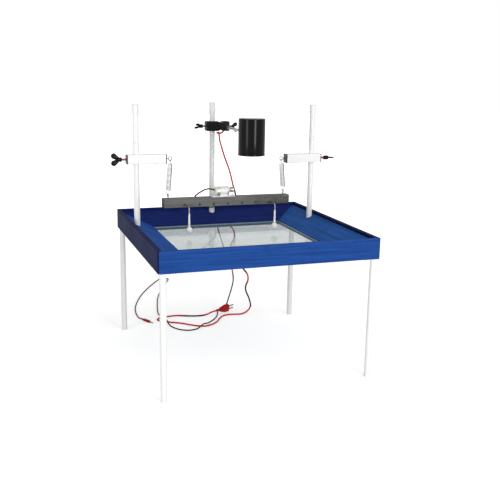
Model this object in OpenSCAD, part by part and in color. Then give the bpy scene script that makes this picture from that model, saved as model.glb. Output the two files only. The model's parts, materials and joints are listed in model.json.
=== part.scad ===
// Ripple tank: a shallow square tray with a glass bottom on four legs. Three
// upright posts carry a sprung beam with a motor and two dippers, and a lamp.
// Millimetres, +Z up, the front facing -Y, the origin on the floor below the
// middle of the tray.

/* [Tray] */
// Outside width and depth of the square tray
tray_size = 560; // [520:10:600]
// Height of the tray's rim above the floor
rim_height = 367; // [340:1:400]
// Height of the four boards round the tray
board_height = 52; // [50:0.5:60]
// Thickness of the boards
board_wall = 12; // [10:0.5:13]
// Radius of the tray's upright outer corners
corner_radius = 8; // [4:0.5:11]
// Bevel along the boards' top edges
edge_bevel = 1.2; // [0.6:0.2:2]
// Width of the sloping beach inside each board
beach_width = 75; // [70:1:90]
// Fall of the beach from the board to the glass
beach_fall = 30; // [26:0.5:32]
// Height of the beach's nose above the glass
beach_nose = 6; // [4:0.5:7]
// Width of the beach's seat on the glass
beach_seat = 3; // [2:0.5:5]
// Thickness of the strips below the glass
strip_wall = 4; // [3:0.5:6]
// How far the strips reach in under the glass
strip_lip = 8; // [4:0.5:9]
// Thickness of the glass
glass_wall = 4; // [3:0.5:6]
// How far the glass reaches under the beaches
glass_overlap = 10; // [9:0.5:14]
// Size of the sealing bead round the glass
seal_bead = 2.5; // [1.5:0.25:3.5]
// Side of the square blocks in the corners below the beaches
block_size = 34; // [32:1:38]

/* [Legs] */
// Outside diameter of the legs
leg_diameter = 16; // [14:0.5:18]
// Wall of the leg tubes
leg_wall = 1.2; // [1:0.1:2]
// Distance of a leg's axis from the tray's outer faces
leg_inset = 13; // [12:0.5:15]
// Side of the square plates below the tray's corners
plate_size = 40; // [38:1:44]
// Thickness of those plates
plate_wall = 2.5; // [2:0.5:4]
// Length of the spigot that a leg slides over
spigot_length = 25; // [20:1:40]
// Thickness of a foot cap's flange
cap_flange = 3; // [2:0.5:5]
// Depth of a cap's plug inside its tube
cap_plug = 12; // [8:1:20]

/* [Posts] */
// Outside diameter of the posts
post_diameter = 16; // [14:0.5:18]
// Wall of the post tubes
post_wall = 1.2; // [1:0.1:2]
// Height of the posts' tops above the rim
post_rise = 306; // [296:1:330]
// Distance of a post's axis from the tray's nearest outer face
post_inset = 27; // [26:0.5:30]
// How far the two side posts stand behind the middle
side_post_y = 104; // [96:1:112]
// Wall of the sockets that the posts stand in
socket_wall = 4; // [3:0.5:4.5]
// Running clearance round a post or a rod
running_gap = 0.05; // [0.03:0.01:0.08]

/* [Arms] */
// Side of the square arm tubes
arm_size = 25; // [23:0.5:27]
// Wall of the arm tubes
arm_wall = 1.5; // [1:0.1:2]
// Length of the arm tubes
arm_length = 102; // [96:1:110]
// How far an arm reaches past its post's axis, on the outside
arm_overhang = 24; // [20:0.5:30]
// Height of the left arm's axis above the rim
left_arm_rise = 163; // [160:1:175]
// Height of the right arm's axis above the rim
right_arm_rise = 157; // [154:1:170]
// Thickness of the black flanges that close the arms
plug_flange = 3; // [2:0.5:4]
// Depth of those plugs inside the tube
plug_depth = 6; // [4:0.5:8]
// Diameter of the thread of the arms' wing screws
wing_thread = 6; // [4:0.5:8]
// Length of a wing screw's bare neck outside the arm
wing_neck = 12; // [10:1:20]
// Length of the wings along the screw
wing_length = 28; // [20:1:32]
// Height of the wings from tip to tip
wing_span = 34; // [24:1:38]
// Thickness of the wings
wing_wall = 5; // [4:0.5:7]
// Radius of a wing's round tip
wing_tip = 7.5; // [5:0.5:8]
// Turn of the right wing screw from upright, in degrees
right_screw_turn = 85; // [0:1:90]

/* [Springs] */
// Outside diameter of the springs
spring_diameter = 15; // [13:0.5:17]
// Diameter of the springs' wire
spring_wire = 1.4; // [1:0.1:1.6]
// Number of turns of each spring
spring_turns = 22; // [14:1:26]
// Outside diameter of the rings that the springs hang on
ring_diameter = 12; // [10:0.5:14]
// Wire diameter of those rings
ring_wire = 2.2; // [1.8:0.1:2.6]

/* [Beam] */
// Length of the beam
beam_length = 366; // [356:1:380]
// Side of the square beam
beam_size = 25; // [23:0.5:27]
// Height of the beam's underside above the rim
beam_rise = 30; // [26:0.5:34]
// Spacing of the seven dipper holes
hole_pitch = 41; // [38:0.5:42]
// Radius of the dipper holes
hole_radius = 1.6; // [1.4:0.05:2]
// Height of the dipper holes above the beam's underside
hole_rise = 6.5; // [5:0.5:9]
// How far the spring eyes stand from the beam's middle
eye_x = 168; // [164:1:172]

/* [Dippers] */
// How far a dipper hangs in front of the beam
dipper_reach = 44; // [36:1:52]
// Diameter of a dipper's ball
ball_diameter = 17.5; // [15:0.5:19]
// Height of a ball's underside above the glass
ball_clearance = 10.5; // [9.5:0.5:16]
// Length of a dipper's white stem above its ball
stem_length = 46; // [38:1:48]
// Radius of the bend in a dipper's wire
wire_bend = 6; // [4:0.5:8]

/* [Motor] */
// Diameter of the motor's can
motor_diameter = 24.4; // [22:0.2:26]
// Length of the motor's can
motor_length = 37; // [32:1:42]
// Where the can's left end lies
motor_x = -30; // [-34:1:-26]
// Thickness of the clip below the can
clip_base = 3.6; // [3:0.2:6]
// Wall of the clip's two curved arms
clip_wall = 1.6; // [1.2:0.1:2.4]
// Length of the clip's arms along the motor
clip_length = 20; // [16:1:24]
// Diameter of the eccentric on the motor's shaft
eccentric_diameter = 15; // [12:0.5:18]
// How far the eccentric's middle is off the shaft
eccentric_throw = 2.5; // [1.5:0.25:3]

/* [Lamp] */
// Width of the boss head from side to side
boss_width = 70; // [66:1:74]
// Depth of the boss head from front to back
boss_depth = 28; // [26:1:28]
// Height of the boss head
boss_height = 28; // [22:1:28]
// Height of the lamp arm above the rim
lamp_arm_rise = 235; // [233:1:245]
// Height of the boss head's middle above the lamp arm
boss_offset = 3.5; // [0:0.5:5]
// Distance of the lamp arm from the back post's axis
lamp_arm_x = 42; // [40:0.5:43]
// Diameter of the lamp arm
lamp_arm_diameter = 8; // [7:0.5:10]
// Bore of the lamp arm
lamp_arm_bore = 5; // [4:0.5:6]
// Length of the lamp arm behind the boss head
lamp_arm_tail = 11; // [10:0.5:13]
// Outside diameter of the lamp housing
lamp_diameter = 72.7; // [66:0.1:80]
// Height of the lamp housing
lamp_height = 97.8; // [90:0.1:100]
// Wall of the lamp housing
lamp_wall = 1.4; // [1:0.1:2]
// Height of the lamp housing's top above its arm
lamp_top_rise = 39.4; // [36:0.1:44]
// How far the lamp's axis is in front of the tray's middle line
lamp_y = 22; // [10:1:26]
// Number of air holes in the lamp's top
vent_count = 8; // [5:1:10]
// Diameter of the bulb
bulb_diameter = 26; // [20:1:30]

/* [Cables] */
// Diameter of the motor's cable
motor_cable_diameter = 4.5; // [4:0.1:4.5]
// Diameter of the lamp's twisted cable
lamp_cable_diameter = 5.5; // [5:0.1:5.5]

/* [Hidden] */

$fn = 48;
touch_gap = 0.3;
half = tray_size / 2;
tray_floor = rim_height - board_height;
glass_bottom = tray_floor + strip_wall;
glass_top = glass_bottom + glass_wall;
nose_inset = board_wall + beach_width;
seat_inset = nose_inset - beach_seat;
beach_slope = beach_fall / beach_width;
beach_top = glass_top + beach_nose + beach_fall;
glass_inset = nose_inset - glass_overlap;
strip_inset = glass_inset + strip_lip;

leg_radius = leg_diameter / 2;
leg_inner = leg_radius - leg_wall;
plate_bottom = tray_floor - plate_wall;
plate_inset = 2;
leg_screw_radius = 1.75;
leg_screw_length = 16;
leg_screw_head = [3.4, 1.8];

post_radius = post_diameter / 2;
post_inner = post_radius - post_wall;
post_top = rim_height + post_rise;
side_post_x = half - post_inset;
back_post_y = half - post_inset;
socket_radius = post_radius + socket_wall;

arm_outer_x = side_post_x + arm_overhang;
arm_inner_x = arm_outer_x - arm_length;
left_arm_z = rim_height + left_arm_rise;
right_arm_z = rim_height + right_arm_rise;
thread_radius = wing_thread / 2;
ring_radius = (ring_diameter - ring_wire) / 2;
hook_shank = 5;
ring_x = arm_inner_x - plug_flange - hook_shank - ring_diameter / 2;

beam_bottom = rim_height + beam_rise;
beam_top = beam_bottom + beam_size;
beam_front = side_post_y - beam_size / 2;
beam_back = side_post_y + beam_size / 2;
eye_depth = 14;
eye_rise = 2;
eye_z = beam_top + eye_rise + ring_diameter / 2;
hook_gap = 0.3;
hook_loop = 4.5;
hook_neck = 2;
hook_drop = ring_radius - (ring_wire + spring_wire) / 2 - hook_gap + hook_loop;

dipper_x = 3 * hole_pitch;
wire_radius = hole_radius - running_gap;
hole_z = beam_bottom + hole_rise;
ball_radius = ball_diameter / 2;
ball_z = glass_top + ball_clearance + ball_radius;
stem_top_radius = 2.2;
stem_foot_radius = 3.2;

motor_radius = motor_diameter / 2;
motor_z = beam_top + clip_base + motor_radius;
motor_end_x = motor_x + motor_length;
bell_length = 6;
shaft_radius = 1.2;
shaft_length = 19;
shaft_depth = 11;
motor_nose = 2;
motor_nose_radius = 4;
eccentric_gap = 2;
eccentric_length = 9;
clip_middle_x = motor_x + motor_length / 2;
clip_screw_x = motor_length / 2 + 10;
clip_screw_radius = 1.2;
clip_screw_depth = 9;
clip_screw_head = [2.4, 1.6];
clip_foot = 2;
clip_foot_end = 4.5;
clip_inset = 2;
clip_gap = 0.1;

cable_clip_x = -88;
cable_clip_rise = 13;
cable_clip_reach = 3.4;

lamp_arm_z = rim_height + lamp_arm_rise;
boss_z = lamp_arm_z + boss_offset;
boss_left_x = -20;
boss_front_y = back_post_y - boss_depth / 2;
boss_back_y = back_post_y + boss_depth / 2;
rod_radius = lamp_arm_diameter / 2;
boss_thread_radius = 2.5;
boss_wings = [23, 29, 4, 6];
boss_screw_turns = [55, -12];
lamp_radius = lamp_diameter / 2;
lamp_top = lamp_arm_z + lamp_top_rise;
lamp_back_y = lamp_y + lamp_radius;
lamp_arm_end_y = boss_back_y + lamp_arm_tail;
lamp_nut_wall = 4;
lamp_nut_radius = 7;
lamp_arm_proud = 4;
lamp_arm_tip_y = lamp_back_y - lamp_wall - lamp_nut_wall - lamp_arm_proud;
lead_hole_y = lamp_arm_end_y - 6;
bulb_radius = bulb_diameter / 2;
bulb_base_radius = 8;
bulb_base_depth = 10;
bulb_base_drop = 10;
holder_radius = 12;
holder_length = 26;
vent_radius = 3;

banana_z = 4.5;
banana_turn = -62;
banana_neck = [3, 8];
banana_sleeve = [4.5, 28];
banana_pin = [2, 17];
plug_turn = [30, -8, 6];
plug_neck = [3.5, 12];
plug_length = 44;
plug_end = [14, 15, 26];
plug_front = [1, 9, 12];
plug_pin = [2, 17];
plug_pin_spacing = 14;

// The lead from the motor to the clip on the back of the beam
motor_lead_route = [
    [-36, 104, 441], [-39, 104, 441], [-45, 104, 443], [-54, 105, 444], [-65, 107, 441],
    [-76, 111, 434], [-84, 116, 427], [-88, 119.9, 420], [-88, 119.9, 409],
    [-88, 120.2, 403], [-88, 122, 401], [-88, 123.5, 401], [-88, 125, 401]
];
// The motor's cable from that clip, over the back of the rim, down to the
// floor and round to the banana plug
motor_cable_route = [
    [-88, 125.3, 401], [-88, 127.3, 401], [-88, 129.3, 401], [-83, 138, 400], [-70, 148, 392], [-48, 168, 383], [-28, 190, 377],
    [-10, 215, 372], [6, 240, 371], [14, 259, 372], [18, 272, 372], [20, 282, 368],
    [21, 289, 358], [23, 291, 338], [27, 293, 306], [36, 296, 280], [48, 302, 246],
    [66, 310, 198], [88, 321, 149], [96, 331, 114], [96, 341, 88], [93, 350, 64],
    [90, 359, 43], [88, 367, 25], [84, 374, 11], [75, 377, 3], [65, 374, 2],
    [56, 364, 2], [50, 350, 2], [45, 334, 2], [36, 310, 2],
    [18, 279, 2], [-8, 251, 2], [-22, 236, 6], [-34, 224, 8.5], [-45, 213, 6],
    [-60, 204, 2], [-84, 199, 2], [-108, 212, 2], [-124, 238, 2], [-130, 264, 3],
    [-132, 286, 8.5], [-134, 310, 8.5], [-137, 342, 8.5], [-139, 362, 3], [-138, 390, 2],
    [-125, 460, 2], [-101, 560, 2], [-64, 660, 2], [-26, 748, 2], [-16, 772, 2],
    [-22, 789, 2], [-38, 793, 2], [-54, 774, 2], [-98, 702, 2], [-141, 621, 2], [-173, 544, 2],
    [-196, 470, 2], [-206, 410, 2], [-207, 362, 2.5], [-205.3, 346, 4.5],
    [-200, 336, 4.5]
];
// The lead from the lamp arm's hole, curled round behind the boss head
lamp_lead_route = [
    [42, 272, 597.7], [42, 272, 594], [39, 273, 587], [32, 275, 583], [25.5, 279, 583],
    [24.5, 285, 583], [27, 289, 583], [28.5, 291, 583], [30, 293, 583]
];
// The lamp's cable from there, down behind the tray to the floor and round to
// the two-pin plug
lamp_cable_route = [
    [30.3, 293.4, 583], [31.5, 295, 583], [32.7, 296.6, 583], [35, 300, 580], [37, 302, 570], [39, 302, 557],
    [46, 302, 534],
    [54, 301, 509], [70, 300, 466], [80, 298, 426], [89, 296, 389], [82, 294, 366],
    [66, 293, 346], [60, 292, 326], [67, 292, 303], [80, 292, 286], [85, 292, 270],
    [83, 292, 254], [76, 292, 239], [74, 292, 225], [84, 292, 204], [102, 292, 178],
    [116, 292, 156], [131, 294, 136], [134, 296, 116], [128, 299, 97], [130, 303, 79],
    [143, 310, 52], [152, 319, 28], [151, 322, 14], [141, 318, 6], [127, 309, 3],
    [111, 302, 3], [88, 306, 3], [66, 306, 3], [49, 296, 3], [34, 276, 3], [20, 253, 3],
    [-2, 231, 3], [-29, 221, 3], [-52, 231, 3], [-69, 245, 3], [-95, 269, 3],
    [-128, 289, 3], [-150, 308, 3], [-154, 324, 3], [-140, 337, 3], [-116, 342, 3],
    [-86, 343, 3], [-48, 328, 3], [-20, 322, 3], [4, 324, 4], [24, 329, 9],
    [40, 333, 11]
];
plug_at = [40, 333, 11];

// Keeps what follows on one side of the tray: 0 front, 1 right, 2 back, 3 left
module on_side(side) {
    rotate([0, 0, 90 * side])
        intersection() {
            children();
            translate([0, 0, tray_floor - 1])
                linear_extrude(board_height + 2)
                    polygon([[0, 0], [-half - 1, -half - 1], [half + 1, -half - 1]]);
        }
}

// A bar along the front of the tray from its outline, drawn as inset and height
module front_bar(outline) {
    translate([half + 1, -half, 0])
        rotate([90, 0, -90])
            linear_extrude(tray_size + 2)
                mirror([1, 0])
                    polygon(outline);
}

// A square with round corners, centred
module round_square(side, radius) {
    square([side, side - 2 * radius], center = true);
    square([side - 2 * radius, side], center = true);
    for (x = [-1, 1], y = [-1, 1])
        translate([x, y] * (side / 2 - radius))
            circle(radius);
}

// A strip whose two round ends differ in radius, joined by their tangents
module tapered_strip(start, end, first, last) {
    along = end - start;
    reach = norm(along);
    lean = acos((first - last) / reach);
    touch = [cos(lean), sin(lean)];
    translate(start)
        rotate(atan2(along.y, along.x)) {
            circle(first);
            translate([reach, 0])
                circle(last);
            polygon([first * touch, [reach, 0] + last * touch,
                [reach, 0] + last * [touch.x, -touch.y], first * [touch.x, -touch.y]]);
        }
}

// A plain tube, upright
module tube(outer, inner, length) {
    difference() {
        cylinder(r = outer, h = length);
        translate([0, 0, -1])
            cylinder(r = inner, h = length + 2);
    }
}

// A ring of round wire, its axis along Z
module wire_ring(radius, wire) {
    rotate_extrude()
        translate([radius, 0])
            circle(wire, $fn = 24);
}

// Puts what follows at the tray's four corners, with +X and +Y pointing inward
module at_corners() {
    for (turn = [0:3])
        rotate([0, 0, 90 * turn])
            translate([-half, -half, 0])
                children();
}

// Height of a beach's underside at a distance from the tray's outer face
function beach_under(inset) = glass_top + beach_slope * (seat_inset - inset);

module board(side) {
    color("royalblue")
        on_side(side)
            difference() {
                translate([0, 0, tray_floor])
                    linear_extrude(board_height)
                        round_square(tray_size, corner_radius);
                translate([-half, -half + board_wall, tray_floor - 1])
                    cube([tray_size, tray_size, board_height + 2]);
                for (y = [-half, -half + board_wall])
                    translate([-half - 1, y, rim_height])
                        rotate([45, 0, 0])
                            translate([0, -edge_bevel / sqrt(2), -edge_bevel / sqrt(2)])
                                cube([tray_size + 2, edge_bevel * sqrt(2), edge_bevel * sqrt(2)]);
            }
}

module beach(side, post_x = undef) {
    color("steelblue")
        difference() {
            on_side(side)
                front_bar([
                    [board_wall, beach_top], [nose_inset, glass_top + beach_nose],
                    [nose_inset, glass_top], [seat_inset, glass_top],
                    [board_wall, beach_under(board_wall)]
                ]);
            at_posts()
                translate([0, 0, glass_top])
                    cylinder(r = post_radius + touch_gap, h = board_height);
        }
}

module at_posts() {
    for (place = [[-side_post_x, side_post_y], [side_post_x, side_post_y], [0, back_post_y]])
        translate(place)
            children();
}

// Four strips below the glass, butted together at the corners
module base_strips() {
    width = strip_inset - board_wall;
    length = tray_size - 2 * board_wall;
    joint = 0.1;
    color("midnightblue")
        difference() {
            for (side = [0:3])
                rotate([0, 0, 90 * side])
                    translate([-half + board_wall, -half + board_wall, tray_floor])
                        cube([length - width - joint, width, strip_wall]);
            at_leg_screws()
                translate([0, 0, tray_floor - 1])
                    cylinder(r = leg_screw_radius + running_gap, h = strip_wall + 2);
        }
}

module glass_plate() {
    size = tray_size - 2 * glass_inset;
    color("lightcyan", 0.5)
        translate([-size / 2, -size / 2, glass_bottom])
            cube([size, size, glass_wall]);
}

// The bead that seals the glass to the beaches
module glass_seal() {
    color("lightgray")
        for (side = [0:3])
            on_side(side)
                front_bar([
                    [nose_inset, glass_top], [nose_inset + seal_bead, glass_top],
                    [nose_inset, glass_top + seal_bead]
                ]);
}

module corner_blocks() {
    top = beach_under(board_wall + block_size) - touch_gap;
    color("burlywood")
        difference() {
            at_corners()
                translate([board_wall, board_wall, glass_bottom])
                    cube([block_size, block_size, top - glass_bottom]);
            at_leg_screws()
                translate([0, 0, glass_bottom - 1])
                    cylinder(r = leg_screw_radius + running_gap, h = leg_screw_length);
        }
}

// Puts what follows at the three screws of each leg plate
module at_leg_screws() {
    near = board_wall + 7;
    far = plate_size - 6;
    at_corners()
        for (place = [[near, far], [far, near], [far, far]])
            translate(place)
                children();
}

module leg_plates() {
    color("silver")
        difference() {
            at_corners() {
                translate([plate_inset, plate_inset, plate_bottom])
                    cube([plate_size, plate_size, plate_wall]);
                translate([leg_inset, leg_inset, plate_bottom - spigot_length])
                    cylinder(r = leg_inner - running_gap, h = spigot_length + plate_wall / 2);
            }
            at_leg_screws()
                translate([0, 0, plate_bottom - 1])
                    cylinder(r = leg_screw_radius + running_gap, h = plate_wall + 2);
        }
}

module plate_screws() {
    color("gainsboro")
        at_leg_screws() {
            translate([0, 0, plate_bottom])
                cylinder(r = leg_screw_radius, h = leg_screw_length);
            translate([0, 0, plate_bottom - leg_screw_head[1]])
                cylinder(r = leg_screw_head[0], h = leg_screw_head[1]);
        }
}

module leg(right, back) {
    color("white")
        mirror([right, 0, 0])
            mirror([0, back, 0])
                translate([-half + leg_inset, -half + leg_inset, cap_flange])
                    tube(leg_radius, leg_inner, plate_bottom - cap_flange);
}

module leg_caps() {
    color("whitesmoke")
        at_corners()
            translate([leg_inset, leg_inset, 0]) {
                cylinder(r = leg_radius, h = cap_flange);
                cylinder(r = leg_inner - running_gap, h = cap_flange + cap_plug);
            }
}

// Three sockets on the base strips, below the beaches
module post_sockets() {
    top = beach_under(post_inset + socket_radius) - touch_gap;
    color("silver")
        at_posts()
            translate([0, 0, glass_bottom])
                tube(socket_radius, post_radius + running_gap, top - glass_bottom);
}

module post() {
    color("white")
        translate([0, 0, glass_bottom])
            tube(post_radius, post_inner, post_top - cap_flange - glass_bottom);
}

module post_cap() {
    color("whitesmoke")
        translate([0, 0, post_top - cap_flange]) {
            cylinder(r = post_radius, h = cap_flange - 1);
            translate([0, 0, cap_flange - 1])
                cylinder(r1 = post_radius, r2 = post_radius - 1, h = 1);
            translate([0, 0, -cap_plug])
                cylinder(r = post_inner - running_gap, h = cap_plug + 1);
        }
}

module post_caps() {
    for (side = [-1, 1])
        translate([side * side_post_x, side_post_y, 0])
            post_cap();
}

// An arm runs along X, with its post's axis at the origin and +X outward
module arm() {
    color("white")
        translate([arm_overhang - arm_length, 0, 0])
            difference() {
                translate([0, -arm_size / 2, -arm_size / 2])
                    cube([arm_length, arm_size, arm_size]);
                translate([-1, -arm_size / 2 + arm_wall, -arm_size / 2 + arm_wall])
                    cube([arm_length + 2, arm_size - 2 * arm_wall, arm_size - 2 * arm_wall]);
                translate([arm_length - arm_overhang, 0, -arm_size])
                    cylinder(r = post_radius + running_gap, h = 2 * arm_size);
            }
}

// The flanged plugs at both ends of an arm
module arm_plugs() {
    inside = arm_size - 2 * arm_wall - 2 * running_gap;
    module plug(hole) {
        difference() {
            union() {
                translate([0, -arm_size / 2, -arm_size / 2])
                    cube([plug_flange, arm_size, arm_size]);
                translate([-plug_depth, -inside / 2, -inside / 2])
                    cube([plug_depth + 1, inside, inside]);
            }
            translate([-plug_depth - 1, 0, 0])
                rotate([0, 90, 0])
                    cylinder(r = hole + running_gap, h = plug_depth + plug_flange + 2);
        }
    }
    color("dimgray") {
        translate([arm_overhang, 0, 0])
            plug(thread_radius);
        translate([arm_overhang - arm_length, 0, 0])
            mirror([1, 0, 0])
                plug(ring_wire / 2);
    }
}

// A screw with a ring, its shank up to the plug's inner end
module arm_hook() {
    shank = plug_flange + plug_depth + hook_shank;
    color("silver")
        translate([ring_x - side_post_x, 0, 0]) {
            rotate([90, 0, 0])
                wire_ring(ring_radius, ring_wire / 2);
            translate([ring_radius, 0, 0])
                rotate([0, 90, 0])
                    cylinder(r = ring_wire / 2, h = shank + ring_wire / 2);
        }
}

// A wing screw along X, its tip at the origin and its wings towards +X
module wing_screw(radius, shank, length, span, wall, tip) {
    hub = radius + 3;
    root = 0.7 * wall;
    rotate([0, 90, 0])
        cylinder(r = radius, h = shank + length / 2);
    translate([shank, 0, 0])
        rotate([0, 90, 0])
            cylinder(r = hub, h = length / 2);
    for (side = [-1, 1])
        translate([shank, wall / 2, 0])
            rotate([90, 0, 0])
                linear_extrude(wall)
                    tapered_strip([wall, 0], [length - tip, side * (span / 2 - tip)], root, tip);
}

module arm_screw() {
    tip = post_radius + touch_gap;
    color("black")
        translate([tip, 0, 0])
            wing_screw(thread_radius, arm_overhang + plug_flange + wing_neck - tip,
                wing_length, wing_span, wing_wall, wing_tip);
}

module left_place() {
    translate([-side_post_x, side_post_y, left_arm_z])
        mirror([1, 0, 0])
            children();
}

module right_place() {
    translate([side_post_x, side_post_y, right_arm_z])
        children();
}

function unit(v) = v / norm(v);
function heading(path, i) = unit(path[min(i + 1, len(path) - 1)] - path[max(i - 1, 0)]);
function square_to(v, along) = unit(v - (v * along) * along);
function any_square(v) = square_to(abs(v.z) > 0.9 ? [1, 0, 0] : [0, 0, 1], v);

// One sideways direction for each point, carried along the path without twist
function sideways(path) = [
    for (i = 0, side = any_square(heading(path, 0)); i < len(path);
        i = i + 1, side = square_to(side, heading(path, min(i, len(path) - 1)))) side
];

// A round tube along a path
module sweep(path, radius, sides) {
    sideway = sideways(path);
    count = len(path);
    points = [
        for (i = [0:count - 1])
            let (along = heading(path, i), u = sideway[i], v = cross(along, u))
                for (k = [0:sides - 1])
                    let (turn = 360 * k / sides)
                        path[i] + radius * (cos(turn) * u + sin(turn) * v)
    ];
    walls = [
        for (i = [0:count - 2], k = [0:sides - 1])
            let (a = i * sides + k, b = i * sides + (k + 1) % sides)
                [a, a + sides, b + sides, b]
    ];
    start = [for (k = [0:sides - 1]) k];
    end = [for (k = [sides - 1:-1:0]) (count - 1) * sides + k];
    polyhedron(points, concat([start, end], walls), convexity = 10);
}

// A smooth curve through the points of a route
function between(a, b, c, d, t) =
    b + t * ((c - a) / 2 + t * (a - 2.5 * b + 2 * c - d / 2 + t * (1.5 * (b - c) + (d - a) / 2)));
function smooth(route, steps) = [
    for (i = [0:len(route) - 2], k = [0:steps - 1])
        between(route[max(i - 1, 0)], route[i], route[i + 1],
            route[min(i + 2, len(route) - 1)], k / steps),
    route[len(route) - 1]
];
// The same curve, lifted where it would sink into the floor
function laid(route, steps, radius) =
    [for (p = smooth(route, steps)) [p.x, p.y, max(p.z, radius)]];

// A tension spring between two rings: a loop in the YZ plane at the top, one in
// the XZ plane at the foot
module spring(top, foot) {
    coil = (spring_diameter - spring_wire) / 2;
    sides = 14;
    coil_top = top.z - hook_loop - hook_neck;
    coil_foot = foot.z + hook_loop + hook_neck;
    turns = spring_turns + 0.25;
    lean = (foot - top) / (top.z - foot.z);
    upper = [
        for (a = [120:-30:-180])
            top + hook_loop * [0, sin(a), cos(a)]
    ];
    body = [
        for (i = [0:ceil(turns * sides)])
            let (part = i / ceil(turns * sides), z = coil_top + part * (coil_foot - coil_top),
                a = 360 * turns * part)
                [top.x + lean.x * (top.z - z), top.y, z] + coil * [sin(a), cos(a), 0]
    ];
    lower = [
        for (a = [0:-30:-300])
            foot + hook_loop * [sin(a), 0, cos(a)]
    ];
    color("silver")
        sweep(concat(upper, body, lower), spring_wire / 2, 6);
}

module left_spring() {
    spring([-ring_x, side_post_y, left_arm_z - hook_drop], [-eye_x, side_post_y, eye_z + hook_drop]);
}

module right_spring() {
    spring([ring_x, side_post_y, right_arm_z - hook_drop], [eye_x, side_post_y, eye_z + hook_drop]);
}

// Puts what follows at the two spring eyes on top of the beam
module at_eyes() {
    for (side = [-1, 1])
        translate([side * eye_x, side_post_y, beam_top])
            children();
}

module beam() {
    color("gray")
        difference() {
            translate([-beam_length / 2, beam_front, beam_bottom])
                cube([beam_length, beam_size, beam_size]);
            for (i = [-3:3])
                translate([i * hole_pitch, beam_front - 1, hole_z])
                    rotate([-90, 0, 0])
                        cylinder(r = hole_radius, h = beam_size + 2);
            at_eyes()
                translate([0, 0, -eye_depth])
                    cylinder(r = ring_wire / 2 + running_gap, h = eye_depth + 1);
            at_clip_screws()
                translate([0, 0, -clip_screw_depth])
                    cylinder(r = clip_screw_radius + running_gap, h = clip_screw_depth + 1);
        }
}

module beam_eyes() {
    color("silver")
        at_eyes() {
            translate([0, 0, eye_rise + ring_diameter / 2])
                rotate([0, 90, 0])
                    wire_ring(ring_radius, ring_wire / 2);
            translate([0, 0, -eye_depth + 1])
                cylinder(r = ring_wire / 2, h = eye_depth - 1 + eye_rise + ring_wire / 2);
        }
}

// A small saddle on the beam's back that holds the motor's lead
module cable_clip() {
    size = [11, 8, 7];
    color("dimgray")
        difference() {
            translate([cable_clip_x - size.x / 2, beam_back, beam_bottom + cable_clip_rise])
                cube(size);
            translate([cable_clip_x, beam_back + cable_clip_reach, beam_bottom])
                cylinder(r = motor_cable_diameter / 2 + running_gap, h = beam_size);
        }
}

// Turns a shape so that its axis lies along the motor's shaft, at the can's left end
module along_motor() {
    translate([motor_x, side_post_y, motor_z])
        rotate([0, 90, 0])
            children();
}

module motor_can() {
    color("silver")
        along_motor()
            difference() {
                union() {
                    cylinder(r = motor_radius, h = motor_length - motor_nose);
                    cylinder(r = motor_nose_radius, h = motor_length);
                }
                translate([0, 0, motor_length - shaft_depth - touch_gap])
                    cylinder(r = shaft_radius + running_gap, h = shaft_depth + 1);
            }
}

module motor_end_bell() {
    color("ivory")
        along_motor()
            translate([0, 0, -bell_length])
                union() {
                    cylinder(r = motor_radius - 1, h = bell_length);
                    translate([0, 0, 1])
                        cylinder(r = motor_radius, h = bell_length - 1);
                }
}

module motor_shaft() {
    color("silver")
        along_motor()
            translate([0, 0, motor_length - shaft_depth])
                cylinder(r = shaft_radius, h = shaft_depth + shaft_length);
}

module eccentric() {
    color("silver")
        along_motor()
            translate([0, 0, motor_length + eccentric_gap])
                difference() {
                    translate([-eccentric_throw, 0, 0])
                        cylinder(r = eccentric_diameter / 2, h = eccentric_length);
                    translate([0, 0, -1])
                        cylinder(r = shaft_radius, h = eccentric_length + 2);
                }
}

// Puts what follows at the two screws that hold the motor's clip
module at_clip_screws() {
    for (side = [-1, 1])
        translate([clip_middle_x + side * clip_screw_x, side_post_y, beam_top])
            children();
}

// A base with two curved arms that grip the can
module motor_clip() {
    base_length = 2 * (clip_screw_x + clip_foot_end);
    inner = motor_radius + clip_gap;
    outer = inner + clip_wall;
    opening = inner * 1.5;
    color("white")
        difference() {
            union() {
                translate([clip_middle_x - base_length / 2, beam_front + clip_inset, beam_top])
                    cube([base_length, beam_size - 2 * clip_inset, clip_foot]);
                translate([clip_middle_x - clip_length / 2, beam_front + clip_inset, beam_top])
                    cube([clip_length, beam_size - 2 * clip_inset, clip_base + 3]);
                translate([clip_middle_x - clip_length / 2, side_post_y, motor_z])
                    rotate([0, 90, 0])
                        cylinder(r = outer, h = clip_length);
            }
            translate([clip_middle_x - base_length, side_post_y, motor_z])
                rotate([0, 90, 0])
                    cylinder(r = inner, h = 2 * base_length);
            translate([clip_middle_x - clip_length, side_post_y - opening / 2, motor_z])
                cube([2 * clip_length, opening, outer + 1]);
            translate([clip_middle_x - clip_length, beam_front - 2, beam_bottom])
                cube([2 * clip_length, beam_size + 4, beam_size]);
            at_clip_screws()
                translate([0, 0, -1])
                    cylinder(r = clip_screw_radius + running_gap, h = clip_foot + 2);
        }
}

module clip_screws() {
    color("gainsboro")
        at_clip_screws() {
            translate([0, 0, 1 - clip_screw_depth])
                cylinder(r = clip_screw_radius, h = clip_screw_depth + clip_foot - 1);
            translate([0, 0, clip_foot])
                cylinder(r = clip_screw_head[0], h = clip_screw_head[1]);
        }
}

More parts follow.
